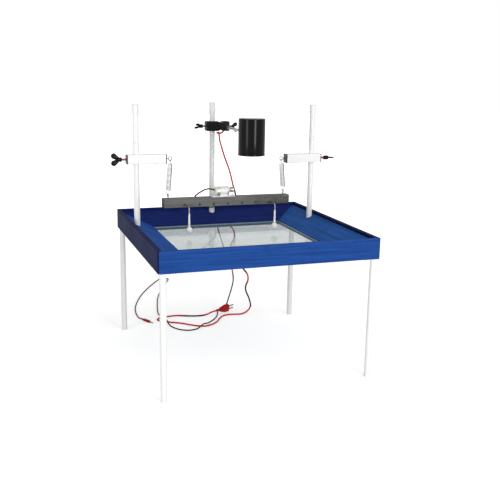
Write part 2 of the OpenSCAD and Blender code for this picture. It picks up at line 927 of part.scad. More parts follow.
// A wire out of the beam's hole, bent down into a white stem with a ball
module dipper(x) {
    bend_y = beam_front - dipper_reach;
    stem_top = ball_z + stem_length;
    color("white")
        translate([x, 0, 0]) {
            translate([0, beam_back, hole_z])
                rotate([90, 0, 0])
                    cylinder(r = wire_radius, h = beam_back - bend_y - wire_bend);
            translate([0, bend_y + wire_bend, hole_z - wire_bend])
                rotate([90, 0, -90])
                    rotate_extrude(angle = 90)
                        translate([wire_bend, 0])
                            circle(wire_radius, $fn = 24);
            translate([0, bend_y, stem_top - 1])
                cylinder(r = wire_radius, h = hole_z - wire_bend - stem_top + 1);
            translate([0, bend_y, ball_z])
                cylinder(r1 = stem_foot_radius, r2 = stem_top_radius, h = stem_length);
            translate([0, bend_y, ball_z])
                sphere(ball_radius);
        }
}

module left_dipper() dipper(-dipper_x);

module right_dipper() dipper(dipper_x);

module back_post() {
    translate([0, back_post_y, 0])
        post();
}

module back_post_cap() {
    translate([0, back_post_y, 0])
        post_cap();
}

// The clamp that holds the lamp arm to the back post
module boss_head() {
    color("black")
        difference() {
            translate([boss_left_x, boss_front_y, boss_z - boss_height / 2])
                cube([boss_width, boss_depth, boss_height]);
            translate([0, back_post_y, boss_z - boss_height])
                cylinder(r = post_radius + running_gap, h = 2 * boss_height);
            translate([lamp_arm_x, boss_front_y - 1, lamp_arm_z])
                rotate([-90, 0, 0])
                    cylinder(r = rod_radius + running_gap, h = boss_depth + 2);
            translate([boss_left_x - 1, back_post_y, boss_z])
                rotate([0, 90, 0])
                    cylinder(r = boss_thread_radius + running_gap, h = 1 - boss_left_x);
            translate([lamp_arm_x, back_post_y, lamp_arm_z])
                rotate([0, 90, 0])
                    cylinder(r = boss_thread_radius + running_gap, h = boss_width);
        }
}

module boss_post_screw() {
    tip = post_radius + touch_gap;
    neck = 9;
    color("black")
        translate([-tip, back_post_y, boss_z])
            rotate([boss_screw_turns[0], 0, 0])
                mirror([1, 0, 0])
                    wing_screw(boss_thread_radius, -boss_left_x - tip + neck,
                        boss_wings[0], boss_wings[1], boss_wings[2], boss_wings[3]);
}

module boss_rod_screw() {
    tip = rod_radius + touch_gap;
    neck = 5;
    color("black")
        translate([lamp_arm_x + tip, back_post_y, lamp_arm_z])
            rotate([boss_screw_turns[1], 0, 0])
                wing_screw(boss_thread_radius,
                    boss_left_x + boss_width - lamp_arm_x - tip + neck,
                    boss_wings[0], boss_wings[1], boss_wings[2], boss_wings[3]);
}

module lamp_arm() {
    length = lamp_arm_end_y - lamp_arm_tip_y;
    color("silver")
        difference() {
            translate([lamp_arm_x, lamp_arm_tip_y, lamp_arm_z])
                rotate([-90, 0, 0])
                    tube(rod_radius, lamp_arm_bore / 2, length);
            translate([lamp_arm_x, lead_hole_y, lamp_arm_z - rod_radius - 1])
                cylinder(r = lamp_arm_bore / 2, h = rod_radius + 1);
        }
}

// A nut inside the lamp's back wall and a collar outside it
module lamp_nuts() {
    collar_y = lamp_back_y + touch_gap;
    nut_y = lamp_y + sqrt(pow(lamp_radius - lamp_wall, 2) - pow(lamp_nut_radius, 2))
        - touch_gap - lamp_nut_wall;
    color("silver")
        difference() {
            for (y = [nut_y, collar_y])
                translate([lamp_arm_x, y, lamp_arm_z])
                    rotate([-90, 0, 0])
                        cylinder(r = lamp_nut_radius, h = lamp_nut_wall, $fn = 6);
            translate([lamp_arm_x, nut_y - 1, lamp_arm_z])
                rotate([-90, 0, 0])
                    cylinder(r = rod_radius, h = lamp_radius);
        }
}

// The black shade, open below, with air holes round its top
module lamp_housing() {
    color("black")
        translate([lamp_arm_x, lamp_y, lamp_top - lamp_height])
            difference() {
                cylinder(r = lamp_radius, h = lamp_height, $fn = 72);
                translate([0, 0, -lamp_wall])
                    cylinder(r = lamp_radius - lamp_wall, h = lamp_height, $fn = 72);
                for (i = [0:vent_count - 1])
                    rotate([0, 0, 360 * i / vent_count])
                        translate([lamp_radius * 0.7, 0, lamp_height - lamp_wall - 1])
                            cylinder(r = vent_radius, h = lamp_wall + 2);
                translate([0, 0, lamp_height - lamp_top_rise])
                    rotate([-90, 0, 0])
                        cylinder(r = rod_radius + running_gap, h = lamp_radius + 1);
            }
}

module lamp_holder() {
    color("dimgray")
        translate([lamp_arm_x, lamp_y, lamp_top - lamp_wall - holder_length])
            difference() {
                cylinder(r = holder_radius, h = holder_length);
                translate([0, 0, -1])
                    cylinder(r = bulb_base_radius + running_gap, h = bulb_base_depth + 1 + touch_gap);
            }
}

module lamp_bulb() {
    base_z = lamp_top - lamp_wall - holder_length;
    color("lightyellow", 0.6)
        translate([lamp_arm_x, lamp_y, base_z]) {
            translate([0, 0, -bulb_base_drop])
                cylinder(r = bulb_base_radius, h = bulb_base_drop + bulb_base_depth);
            translate([0, 0, -bulb_base_drop - bulb_radius * 0.7])
                sphere(bulb_radius);
        }
}

module motor_lead() {
    color("black")
        sweep(smooth(motor_lead_route, 2), motor_cable_diameter / 2, 8);
}

module motor_cable() {
    radius = motor_cable_diameter / 2;
    color("black")
        sweep(laid(motor_cable_route, 2, radius), radius, 8);
}

// A red sleeve with a metal pin, lying on the floor
module banana_plug() {
    start = motor_cable_route[len(motor_cable_route) - 1];
    color("firebrick")
        translate([start.x, start.y, banana_z])
            rotate([0, 0, banana_turn])
                rotate([0, 90, 0]) {
                    cylinder(r = banana_neck[0], h = banana_neck[1]);
                    translate([0, 0, banana_neck[1]])
                        cylinder(r = banana_sleeve[0], h = banana_sleeve[1]);
                    translate([0, 0, banana_neck[1] + banana_sleeve[1]])
                        cylinder(r = banana_pin[0], h = banana_pin[1]);
                }
}

module lamp_lead() {
    color("crimson")
        sweep(smooth(lamp_lead_route, 3), lamp_cable_diameter / 2, 8);
}

module lamp_cable() {
    radius = lamp_cable_diameter / 2;
    color("crimson")
        sweep(laid(lamp_cable_route, 2, radius), radius, 8);
}

// A moulded plug on its edge, with two pins
module two_pin_plug() {
    color("darkred")
        translate(plug_at)
            rotate([0, plug_turn.y, plug_turn.z])
                rotate([plug_turn.x, 0, 0]) {
                    rotate([0, 90, 0])
                        cylinder(r = plug_neck[0], h = plug_neck[1] + 2);
                    hull() {
                        translate([plug_neck[1], -plug_front.y / 2, -plug_front.z / 2])
                            cube(plug_front);
                        translate([plug_length - plug_end.x, -plug_end.y / 2, -plug_end.z / 2])
                            cube(plug_end);
                    }
                    for (side = [-1, 1])
                        translate([plug_length - 1, 0, side * plug_pin_spacing / 2])
                            rotate([0, 90, 0])
                                cylinder(r = plug_pin[0], h = plug_pin[1] + 1);
                }
}

board(0);  // front_board
board(1);  // right_board
board(2);  // back_board
board(3);  // left_board
beach(0);  // front_beach
beach(1);  // right_beach
beach(2);  // back_beach
beach(3);  // left_beach
base_strips();
glass_plate();
glass_seal();
corner_blocks();
leg_plates();
plate_screws();
leg(0, 0);  // front_left_leg
leg(1, 0);  // front_right_leg
leg(0, 1);  // back_left_leg
leg(1, 1);  // back_right_leg
leg_caps();
post_sockets();
translate([-side_post_x, side_post_y, 0]) post();  // left_post
translate([side_post_x, side_post_y, 0]) post();  // right_post
post_caps();
back_post();
back_post_cap();
left_place() arm();  // left_arm
left_place() arm_plugs();  // left_arm_plugs
left_place() arm_hook();  // left_arm_hook
left_place() arm_screw();  // left_arm_screw
right_place() arm();  // right_arm
right_place() arm_plugs();  // right_arm_plugs
right_place() arm_hook();  // right_arm_hook
right_place() rotate([right_screw_turn, 0, 0]) arm_screw();  // right_arm_screw
left_spring();
right_spring();
beam();
beam_eyes();
cable_clip();
motor_can();
motor_end_bell();
motor_clip();
clip_screws();
motor_shaft();
eccentric();
left_dipper();
right_dipper();
boss_head();
boss_post_screw();
boss_rod_screw();
lamp_arm();
lamp_nuts();
lamp_housing();
lamp_holder();
lamp_bulb();
motor_lead();
motor_cable();
banana_plug();
lamp_lead();
lamp_cable();
two_pin_plug();
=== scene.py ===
import json
import math

import bmesh
import bpy
from mathutils import Matrix, Vector

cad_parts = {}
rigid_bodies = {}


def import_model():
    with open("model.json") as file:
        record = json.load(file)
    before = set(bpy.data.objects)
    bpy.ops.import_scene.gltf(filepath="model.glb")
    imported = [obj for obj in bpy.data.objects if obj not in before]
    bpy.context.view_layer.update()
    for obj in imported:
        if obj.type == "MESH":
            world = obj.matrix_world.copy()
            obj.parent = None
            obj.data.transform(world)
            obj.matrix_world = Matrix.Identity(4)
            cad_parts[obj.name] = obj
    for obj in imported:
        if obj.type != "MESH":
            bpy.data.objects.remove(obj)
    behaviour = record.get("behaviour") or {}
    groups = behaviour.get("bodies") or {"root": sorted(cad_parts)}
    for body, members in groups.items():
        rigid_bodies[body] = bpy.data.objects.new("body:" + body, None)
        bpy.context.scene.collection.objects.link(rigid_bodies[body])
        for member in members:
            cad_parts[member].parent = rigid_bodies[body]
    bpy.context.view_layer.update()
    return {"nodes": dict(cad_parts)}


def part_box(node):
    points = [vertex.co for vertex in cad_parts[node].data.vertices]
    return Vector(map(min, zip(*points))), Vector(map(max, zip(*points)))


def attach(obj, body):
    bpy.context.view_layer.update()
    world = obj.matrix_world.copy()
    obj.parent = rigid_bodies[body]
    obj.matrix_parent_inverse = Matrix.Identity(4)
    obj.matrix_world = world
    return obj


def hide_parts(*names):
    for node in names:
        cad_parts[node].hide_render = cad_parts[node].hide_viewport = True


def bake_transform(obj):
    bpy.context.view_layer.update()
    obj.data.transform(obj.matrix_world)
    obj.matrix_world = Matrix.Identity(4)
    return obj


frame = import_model()
nodes = frame["nodes"]
print("frame loaded with", len(nodes), "nodes")


# What a value in a node tree can do: an expression on values adds its Math nodes
class Value:
    def __init__(self, graph, socket):
        self.graph, self.socket = graph, socket

    def maths(self, operation, other=0.0, swapped=False):
        first, second = (other, self) if swapped else (self, other)
        return self.graph.node("ShaderNodeMath", {"operation": operation}, {0: first, 1: second})

    def __add__(self, other):
        return self.maths("ADD", other)

    def __mul__(self, other):
        return self.maths("MULTIPLY", other)

    def __sub__(self, other):
        return self.maths("SUBTRACT", other)

    def __rsub__(self, other):
        return self.maths("SUBTRACT", other, swapped=True)

    def __truediv__(self, other):
        return self.maths("DIVIDE", other)

    __radd__ = __add__
    __rmul__ = __mul__

    def least(self, other):
        return self.maths("MINIMUM", other)

    def most(self, other):
        return self.maths("MAXIMUM", other)

    def rise(self, low, high):  # 0 below low, 1 above high, soft between
        return self.graph.node(
            "ShaderNodeMapRange", {"interpolation_type": "SMOOTHSTEP"}, {0: self, 1: low, 2: high})


class Graph:
    def __init__(self, tree):
        self.tree = tree

    def node(self, kind, settings=None, values=None, out=0):
        made = self.tree.nodes.new(kind)
        for key, value in (settings or {}).items():
            setattr(made, key, value)
        for key, value in (values or {}).items():
            if isinstance(value, Value):
                self.tree.links.new(value.socket, made.inputs[key])
            else:
                made.inputs[key].default_value = value
        return Value(self, made.outputs[out])


def srgb(red, green, blue):  # a colour as it looks on screen, 0 to 255
    parts = [c / 255 for c in (red, green, blue)]
    return [c / 12.92 if c <= 0.04045 else ((c + 0.055) / 1.055) ** 2.4 for c in parts] + [1.0]


def shaded(colour, factor):
    return [min(1.0, c * factor) for c in colour[:3]] + [1.0]


def placed(name, data):  # a new object in the scene
    made = bpy.data.objects.new(name, data)
    bpy.context.scene.collection.objects.link(made)
    return made


def camel(node):  # left_post as leftPost
    first, *others = node.split("_")
    return first + "".join(word.title() for word in others)


class Paint(Graph):
    def __init__(self, name, colour, roughness=0.4, metallic=0.0, specular=0.5):
        self.material = bpy.data.materials.new(name)
        self.material.use_nodes = True
        super().__init__(self.material.node_tree)
        self.surface = self.tree.nodes["Principled BSDF"]
        self.give("Base Color", colour)
        self.give("Roughness", roughness)
        self.give("Metallic", metallic)
        self.give("Specular IOR Level", specular)
        self.place = self.node("ShaderNodeTexCoord", out=3)

    def give(self, name, value):
        if isinstance(value, Value):
            self.tree.links.new(value.socket, self.surface.inputs[name])
        else:
            self.surface.inputs[name].default_value = value

    def stretched(self, scale):
        return self.node("ShaderNodeMapping", None, {"Vector": self.place, "Scale": scale})

    def noise(self, scale, detail=3.0, vector=None, roughness=0.55):
        return self.node("ShaderNodeTexNoise", None, {
            "Vector": vector or self.place, "Scale": scale, "Detail": detail, "Roughness": roughness})

    def mix(self, factor, first, second):
        return self.node("ShaderNodeMix", {"data_type": "RGBA"}, {0: factor, 6: first, 7: second}, out=2)

    def bump(self, height, strength, distance):
        self.give("Normal", self.node(
            "ShaderNodeBump", None, {"Height": height, "Strength": strength, "Distance": distance}))

    def axes(self):
        split = self.tree.nodes.new("ShaderNodeSeparateXYZ")
        self.tree.links.new(self.place.socket, split.inputs[0])
        return [Value(self, split.outputs[k]) for k in range(3)]

    def nearEdge(self, low, high):  # distance to the nearest edge of a box
        parts = [(p - low[k]).least(high[k] - p) for k, p in enumerate(self.axes())]
        a, b, c = parts
        return a.least(b).most(a.most(b).least(c))


# Camera, floor and light
stage = {
    "eye": (-0.6210, -1.8628, 0.7554), "yaw": 19.4, "pitch": 13.3, "roll": 1.0, "lens": 53.6,
    "sensor": 36, "farEnd": 100, "floorWidth": 24.0, "floorColour": 0.80, "floorGlow": 0.55,
    "glowFrom": 0.8, "glowTo": 2.4, "worldFill": 0.42,
    "sunStrength": 0.6, "sunAngle": 50, "sunTurn": (38, 8, 20),
    "boxFoot": 0.01, "boxDistance": 2.1, "target": (0.042, 0.022),
    "boxes": {  # turn round the lamp, width, height, watts
        "rightBox": (281, 0.48, 1.3, 21), "leftBox": (210, 0.60, 1.3, 11.5)},
}


def addCamera():
    yaw, pitch, roll = (math.radians(stage[k]) for k in ("yaw", "pitch", "roll"))
    ahead = Vector((math.sin(yaw) * math.cos(pitch), math.cos(yaw) * math.cos(pitch), -math.sin(pitch)))
    right = Vector((math.cos(yaw), -math.sin(yaw), 0))
    up = right.cross(ahead)
    turnedRight = math.cos(roll) * right + math.sin(roll) * up
    turnedUp = math.cos(roll) * up - math.sin(roll) * right
    data = bpy.data.cameras.new("camera")
    data.sensor_width, data.lens, data.clip_end = stage["sensor"], stage["lens"], stage["farEnd"]
    camera = placed("camera", data)
    columns = Matrix((turnedRight, turnedUp, -ahead)).transposed()
    camera.matrix_world = Matrix.Translation(stage["eye"]) @ columns.to_4x4()
    bpy.context.scene.camera = camera


def seenRays(graph):  # 1 for rays that show a background
    path = graph.tree.nodes.new("ShaderNodeLightPath")
    camera, glossy, through = (
        Value(graph, path.outputs[k]) for k in ("Is Camera Ray", "Is Glossy Ray", "Is Transmission Ray"))
    return camera.most(glossy).most(through)


def addWorld():
    world = bpy.data.worlds.new("studio")
    world.use_nodes = True
    bpy.context.scene.world = world
    graph = Graph(world.node_tree)
    back = world.node_tree.nodes["Background"]
    back.inputs["Color"].default_value = (1, 1, 1, 1)
    seen = seenRays(graph)
    strength = stage["worldFill"] + seen * (1 - stage["worldFill"])
    world.node_tree.links.new(strength.socket, back.inputs["Strength"])
    bpy.context.scene.view_settings.view_transform = "Standard"


def addFloor():
    paint = Paint("floorPaint", [stage["floorColour"]] * 3 + [1.0], roughness=0.9, specular=0.0)
    x, y, _ = paint.axes()
    away = (x * x + y * y).maths("SQRT").rise(stage["glowFrom"], stage["glowTo"])
    glow = stage["floorGlow"] + away * (1 - stage["floorGlow"])
    paint.give("Emission Color", (1, 1, 1, 1))
    paint.give("Emission Strength", seenRays(paint) * glow)
    half = stage["floorWidth"] / 2
    mesh = bpy.data.meshes.new("floor")
    corners = [(-half, -half, 0), (half, -half, 0), (half, half, 0), (-half, half, 0)]
    mesh.from_pydata(corners, [], [(0, 1, 2, 3)])
    mesh.materials.append(paint.material)
    floor = placed("floor", mesh)


def addLamps():
    sun = bpy.data.lights.new("sun", "SUN")
    sun.energy, sun.angle = stage["sunStrength"], math.radians(stage["sunAngle"])
    placed("sun", sun).rotation_euler = [math.radians(a) for a in stage["sunTurn"]]
    for name, (turn, width, height, watts) in stage["boxes"].items():
        data = bpy.data.lights.new(name, "AREA")
        data.shape, data.size, data.size_y, data.energy = "RECTANGLE", width, height, watts
        box = placed(name, data)
        way = Vector((math.cos(math.radians(turn)), math.sin(math.radians(turn)), 0))
        box.location = Vector((*stage["target"], stage["boxFoot"] + height / 2)) + stage["boxDistance"] * way
        box.rotation_euler = way.to_track_quat("Z", "Y").to_euler()
        box.visible_camera = False


addCamera()
addWorld()
addFloor()
addLamps()
print("camera, floor and light made")


# Mesh making: each function adds a closed shell to a bmesh
touching = 1e-7  # points nearer than this are one point


def onCircle(radius, angle, height=0.0):
    return Vector((radius * math.cos(angle), radius * math.sin(angle), height))


def addLathe(bm, profile, segments=48, closed=False, place=Matrix()):
    rings = []
    for radius, height in profile:
        count = 1 if radius < touching else segments
        rings.append([bm.verts.new(place @ onCircle(radius, math.tau * k / segments, height))
                      for k in range(count)])
    for a, b in zip(rings, rings[1:] + rings[:1] if closed else rings[1:]):
        for k in range(segments):
            corners = [a[k % len(a)], a[(k + 1) % len(a)], b[(k + 1) % len(b)], b[k % len(b)]]
            bm.faces.new(list(dict.fromkeys(corners)))
    for ring in ([] if closed else (rings[0], rings[-1])):
        if len(ring) > 1:
            bm.faces.new(ring)


def addRod(bm, radius, low, high, segments, place, past=0.01):  # a cutter that reaches past both ends
    addLathe(bm, [(radius, low - past), (radius, high + past)], segments, place=place)


def addBox(bm, low, high, bevel=0.0, segments=3):
    made = bmesh.ops.create_cube(bm, size=1.0)["verts"]
    low, high = Vector(low), Vector(high)
    for v in made:
        v.co = low + Vector([(share + 0.5) * size for share, size in zip(v.co, high - low)])
    if bevel:
        edges = list({e for v in made for e in v.link_edges})
        bmesh.ops.bevel(bm, geom=edges, offset=bevel, segments=segments, affect="EDGES", profile=0.5)


def addLoft(bm, rings, place=Matrix(), loop=False):  # equal rings, closed at both ends or into a loop
    made = [[bm.verts.new(place @ Vector(p)) for p in ring] for ring in rings]
    for a, b in zip(made, made[1:] + made[:1] if loop else made[1:]):
        for k in range(len(a)):
            bm.faces.new([a[k], a[(k + 1) % len(a)], b[(k + 1) % len(a)], b[k]])
    if not loop:
        bm.faces.new(made[0][::-1])
        bm.faces.new(made[-1])


def addCapsule(bm, start, end, radius, flat, side, rings=8, endRadius=None, segments=24):
    way = Vector(end) - Vector(start)  # a round-ended bar, flattened along side
    length, last = way.length, endRadius or radius
    way.normalize()
    across = way.cross(Vector(side)).normalized()
    place = Matrix((across, Vector(side) * flat * radius / last, way)).transposed().to_4x4()
    place.translation = start
    lean = math.acos((radius - last) / length)  # where the two round ends meet their common cone
    foot = [lean + (math.pi - lean) * (1 - k / rings) for k in range(rings + 1)]
    head = [lean * (1 - k / rings) for k in range(rings + 1)]
    profile = [(radius * math.sin(a), radius * math.cos(a)) for a in foot]
    profile += [(last * math.sin(a), length + last * math.cos(a)) for a in head]
    addLathe(bm, profile, segments, place=place)


def along(axis):  # turns +Z onto an axis
    return {"x": Matrix.Rotation(math.pi / 2, 4, "Y"), "y": Matrix.Rotation(-math.pi / 2, 4, "X"),
            "z": Matrix()}[axis]


def at(x, y, z):
    return Matrix.Translation((x, y, z))


def turned(axis, degrees):
    return Matrix.Rotation(math.radians(degrees), 4, axis)


def meshOf(name, bm):
    bmesh.ops.remove_doubles(bm, verts=bm.verts, dist=touching)
    bmesh.ops.recalc_face_normals(bm, faces=bm.faces)
    mesh = bpy.data.meshes.new(name)
    bm.to_mesh(mesh)
    bm.free()
    return mesh


def put(name, mesh, paints, body=None, instead=(), sharp=35):
    if mesh.name != name:
        mesh.name = name
    mesh.shade_smooth()
    mesh.set_sharp_from_angle(angle=math.radians(sharp))
    mesh.materials.clear()
    for paint in paints if isinstance(paints, (list, tuple)) else [paints]:
        mesh.materials.append(paint.material)
    piece = placed(name, mesh)
    if body:
        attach(piece, body)
    if instead:
        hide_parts(*instead)
    return piece


def meshFrom(holder, *others):  # the mesh with its modifiers applied; the objects go
    mesh = bpy.data.meshes.new_from_object(holder.evaluated_get(bpy.context.evaluated_depsgraph_get()))
    for old in (holder, *others):
        bpy.data.objects.remove(old)
    return mesh


def cover(node, mesh, paint, body, sharp=35):  # a piece with its node's name, in its stead
    return put(camel(node), mesh, paint, body, [node], sharp)


def cut(mesh, *cutters):  # takes the cutters' shells out of a mesh
    base = placed("cutBase", mesh)
    knives = []
    for k, bm in enumerate(cutters):
        knives.append(placed("knife", meshOf("knife", bm)))
        step = base.modifiers.new(f"cut{k}", "BOOLEAN")
        step.operation, step.solver, step.object = "DIFFERENCE", "EXACT", knives[-1]
    return meshFrom(base, *knives)


# Geometry Nodes: a tree takes a mesh and named sizes, and ends in Realize Instances and Set Material
class Grower(Graph):
    def __init__(self, name, **inputs):
        tree = bpy.data.node_groups.new(name, "GeometryNodeTree")
        super().__init__(tree)
        tree.interface.new_socket("Geometry", in_out="OUTPUT", socket_type="NodeSocketGeometry")
        tree.interface.new_socket("Geometry", in_out="INPUT", socket_type="NodeSocketGeometry")
        inputs["Paint"] = "NodeSocketMaterial"
        self.ids = {key: tree.interface.new_socket(key, in_out="INPUT", socket_type=kind).identifier
                    for key, kind in inputs.items()}
        self.start = tree.nodes.new("NodeGroupInput")

    def given(self, name):
        return Value(self, self.start.outputs[name])

    def circle(self, sides, radius):
        return self.node("GeometryNodeCurvePrimitiveCircle", None, {"Resolution": sides, "Radius": radius})

    def sweep(self, line, ring, caps):
        return self.node("GeometryNodeCurveToMesh", None, {
            "Curve": line, "Profile Curve": ring, "Fill Caps": caps})

    def vector(self, *parts):
        return self.node("ShaderNodeCombineXYZ", None, dict(enumerate(parts)))

    def lifted(self, shape, height):
        return self.node("GeometryNodeTransform", None, {
            "Geometry": shape, "Translation": self.vector(0.0, 0.0, height)})

    def onPoints(self, shape):  # the shape on each seed point
        return self.finish(self.node("GeometryNodeInstanceOnPoints", None, {
            "Points": self.given("Geometry"), "Instance": shape, "Rotation": self.given("Rotation")}))

    def finish(self, shape):
        shape = self.node("GeometryNodeRealizeInstances", None, {"Geometry": shape})
        shape = self.node("GeometryNodeSetMaterial", None, {
            "Geometry": shape, "Material": self.given("Paint")})
        end = self.tree.nodes.new("NodeGroupOutput")
        self.tree.links.new(shape.socket, end.inputs[0])
        return self

    def grow(self, points, edges, paint, **sizes):
        mesh = bpy.data.meshes.new("seed")
        mesh.from_pydata([tuple(p) for p in points], edges, [])
        holder = placed("seed", mesh)
        step = holder.modifiers.new("grow", "NODES")
        step.node_group = self.tree
        for key, value in {**sizes, "Paint": paint.material}.items():
            step[self.ids[key]] = value
        return meshFrom(holder)


treeSizes = {"threadSteps": 20, "threadSides": 5, "threadDepth": 0.38, "headSides": 28, "headTop": 0.72,
             "slotLength": 3, "slotWidth": 0.28, "slotRise": 0.55, "shankSides": 20,
             "ribSteps": 32, "ribSides": 10}


def wireTree():  # sweeps round wire along the seed's edges
    tree = Grower("wire", Radius="NodeSocketFloat", Sides="NodeSocketInt")
    line = tree.node("GeometryNodeMeshToCurve", None, {"Mesh": tree.given("Geometry")})
    return tree.finish(tree.sweep(line, tree.circle(tree.given("Sides"), tree.given("Radius")), True))


def threadTree():  # winds a thread from each seed point along an axis
    s = treeSizes
    tree = Grower("thread", Radius="NodeSocketFloat", Length="NodeSocketFloat", Pitch="NodeSocketFloat",
                  Rotation="NodeSocketVector")
    radius, length, pitch = (tree.given(name) for name in ("Radius", "Length", "Pitch"))
    helix = tree.node("GeometryNodeCurveSpiral", None, {
        "Resolution": s["threadSteps"], "Rotations": length / pitch, "Start Radius": radius,
        "End Radius": radius, "Height": length})
    return tree.onPoints(tree.sweep(helix, tree.circle(s["threadSides"], pitch * s["threadDepth"]), True))


def screwTree():  # a slotted screw, head up, on each seed point
    s = treeSizes
    tree = Grower("screws", HeadRadius="NodeSocketFloat", HeadHeight="NodeSocketFloat",
                  ShankRadius="NodeSocketFloat", ShankLength="NodeSocketFloat", Rotation="NodeSocketVector")
    radius, height, shank = (tree.given(name) for name in ("HeadRadius", "HeadHeight", "ShankLength"))
    head = tree.node("GeometryNodeMeshCone", None, {
        "Vertices": s["headSides"], "Radius Top": radius * s["headTop"], "Radius Bottom": radius,
        "Depth": height})
    slotBox = tree.node("GeometryNodeMeshCube", None, {
        "Size": tree.vector(radius * s["slotLength"], radius * s["slotWidth"], height)})
    head = tree.node("GeometryNodeMeshBoolean", {"operation": "DIFFERENCE"}, {
        "Mesh 1": head, "Mesh 2": tree.lifted(slotBox, height * s["slotRise"])})
    body = tree.node("GeometryNodeMeshCylinder", None, {
        "Vertices": s["shankSides"], "Radius": tree.given("ShankRadius"), "Depth": shank})
    both = tree.tree.nodes.new("GeometryNodeJoinGeometry")
    for part in (tree.lifted(body, shank * -0.5), head):
        tree.tree.links.new(part.socket, both.inputs[0])
    return tree.onPoints(Value(tree, both.outputs[0]))


def ribTree():  # a round rib at each seed point
    s = treeSizes
    tree = Grower("ribs", Radius="NodeSocketFloat", Thickness="NodeSocketFloat", Rotation="NodeSocketVector")
    hoop = tree.circle(s["ribSteps"], tree.given("Radius"))
    return tree.onPoints(tree.sweep(hoop, tree.circle(s["ribSides"], tree.given("Thickness")), False))


wires, threads, screws, ribs = wireTree(), threadTree(), screwTree(), ribTree()


def chain(points, closed=False, start=0):  # the edges that join points in a row
    count = len(points)
    return [(start + k, start + (k + 1) % count) for k in range(count if closed else count - 1)]


def joined(*meshes):  # several plain meshes as one
    bm = bmesh.new()
    for mesh in meshes:
        bm.from_mesh(mesh)
    mesh = bpy.data.meshes.new("joined")
    bm.to_mesh(mesh)
    bm.free()
    return mesh


print("node trees made")


# Finishes
boardSizes = {"streak": 150, "along": 4, "edge": 0.0022, "edgeLift": 1.5, "ragged": 0.004, "worn": 0.55,
              "bump": 0.00025, "gloss": 0.02, "roughness": 0.42, "change": 0.15}


def boardPaint(name, colour, lengthwise):
    s = boardSizes
    low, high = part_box(name)
    paint = Paint(name + "Paint", colour, specular=s["gloss"])
    scale = [s["streak"]] * 3
    scale[lengthwise] = s["along"]
    streaks = paint.noise(1.0, 4, paint.stretched(scale), 0.65)
    blotches = paint.noise(11.0, 3)
    base = paint.mix(streaks.rise(0.3, 0.7), shaded(colour, 0.72), shaded(colour, 1.22))
    base = paint.mix(blotches.rise(0.5, 0.75) * 0.55, base, shaded(colour, 0.55))
    edge = paint.nearEdge(low, high) + (paint.noise(160, 4) - 0.5) * s["ragged"]
    worn = (1 - edge.rise(0.0, s["edge"])) * s["worn"]
    paint.give("Base Color", paint.mix(worn, base, shaded(colour, s["edgeLift"])))
    paint.give("Roughness", streaks * s["change"] + blotches * s["change"] + s["roughness"])
    paint.bump(streaks + paint.noise(420, 2) * 0.35, 0.5, s["bump"])
    return paint


skinDepth = 0.0001  # how deep the fine relief of smooth finishes goes


def sprayPaint(name, colour, roughness=0.32, dirt=0.10, specular=0.5):  # sprayed metal, fine orange peel
    paint = Paint(name, colour, roughness, specular=specular)
    peel = paint.noise(750, 2)
    grime = paint.noise(24, 5, roughness=0.7).rise(0.5, 0.8) * dirt
    paint.give("Base Color", paint.mix(grime, colour, shaded(colour, 0.55)))
    paint.give("Roughness", grime * 1.5 + roughness)
    paint.bump(peel, 0.25, skinDepth)
    return paint


def metal(name, colour, roughness, streak=(60, 60, 900)):
    paint = Paint(name, colour, roughness, metallic=1.0)
    brushed = paint.noise(1.0, 3, paint.stretched(streak))
    stains = paint.noise(45, 4)
    paint.give("Base Color", paint.mix(stains.rise(0.45, 0.8) * 0.4, colour, shaded(colour, 0.7)))
    paint.give("Roughness", brushed * 0.12 + stains * 0.1 + (roughness - 0.08))
    paint.bump(brushed, 0.15, skinDepth)
    return paint


def moulded(name, colour, roughness=0.38, grain=600, specular=0.5):
    paint = Paint(name, colour, roughness, specular=specular)
    skin = paint.noise(grain, 3)
    cloud = paint.noise(35, 3)
    paint.give("Base Color", paint.mix(cloud.rise(0.4, 0.8) * 0.35, colour, shaded(colour, 0.72)))
    paint.give("Roughness", skin * 0.12 + (roughness - 0.06))
    paint.bump(skin, 0.2, skinDepth)
    return paint


timberSizes = {"across": 130.0, "along": 6.0, "bump": 0.0003, "patch": 0.75}


def timber(name, colour, dark, lengthwise, specular=0.3):  # bare or thinly painted, grain along one axis
    s = timberSizes
    paint = Paint(name, colour, specular=specular)
    scale = [s["across"]] * 3
    scale[lengthwise] = s["along"]
    grain = paint.noise(1.0, 5, paint.stretched(scale), 0.7)
    patches = paint.noise(16, 4, roughness=0.6)
    base = paint.mix(grain.rise(0.35, 0.7), shaded(colour, 0.78), shaded(colour, 1.12))
    paint.give("Base Color", paint.mix(patches.rise(0.5, 0.72) * s["patch"], base, dark))
    paint.give("Roughness", grain * 0.25 + 0.45)
    paint.bump(grain, 0.5, s["bump"])
    return paint


def dress(paint, *names):
    for name in names:
        materials = nodes[name].data.materials
        materials.clear()
        materials.append(paint.material)


# One blue paint, given as lit and shaded copies: each board and beach has its own tint, darker where its face
# turns away from the light, as painted shade
boardLitAndShadedTints = {
    "front_board": ((32, 70, 138), 0), "back_board": ((27, 39, 100), 0),
    "left_board": ((15, 25, 66), 1), "right_board": ((17, 25, 64), 1),
    "front_beach": ((33, 72, 142), 0), "back_beach": ((27, 42, 106), 0),
    "left_beach": ((22, 76, 156), 1), "right_beach": ((38, 88, 160), 1),
    "base_strips": ((30, 52, 112), 0),
}
for boardName, (tint, lengthwise) in boardLitAndShadedTints.items():
    dress(boardPaint(boardName, srgb(*tint), lengthwise), boardName)

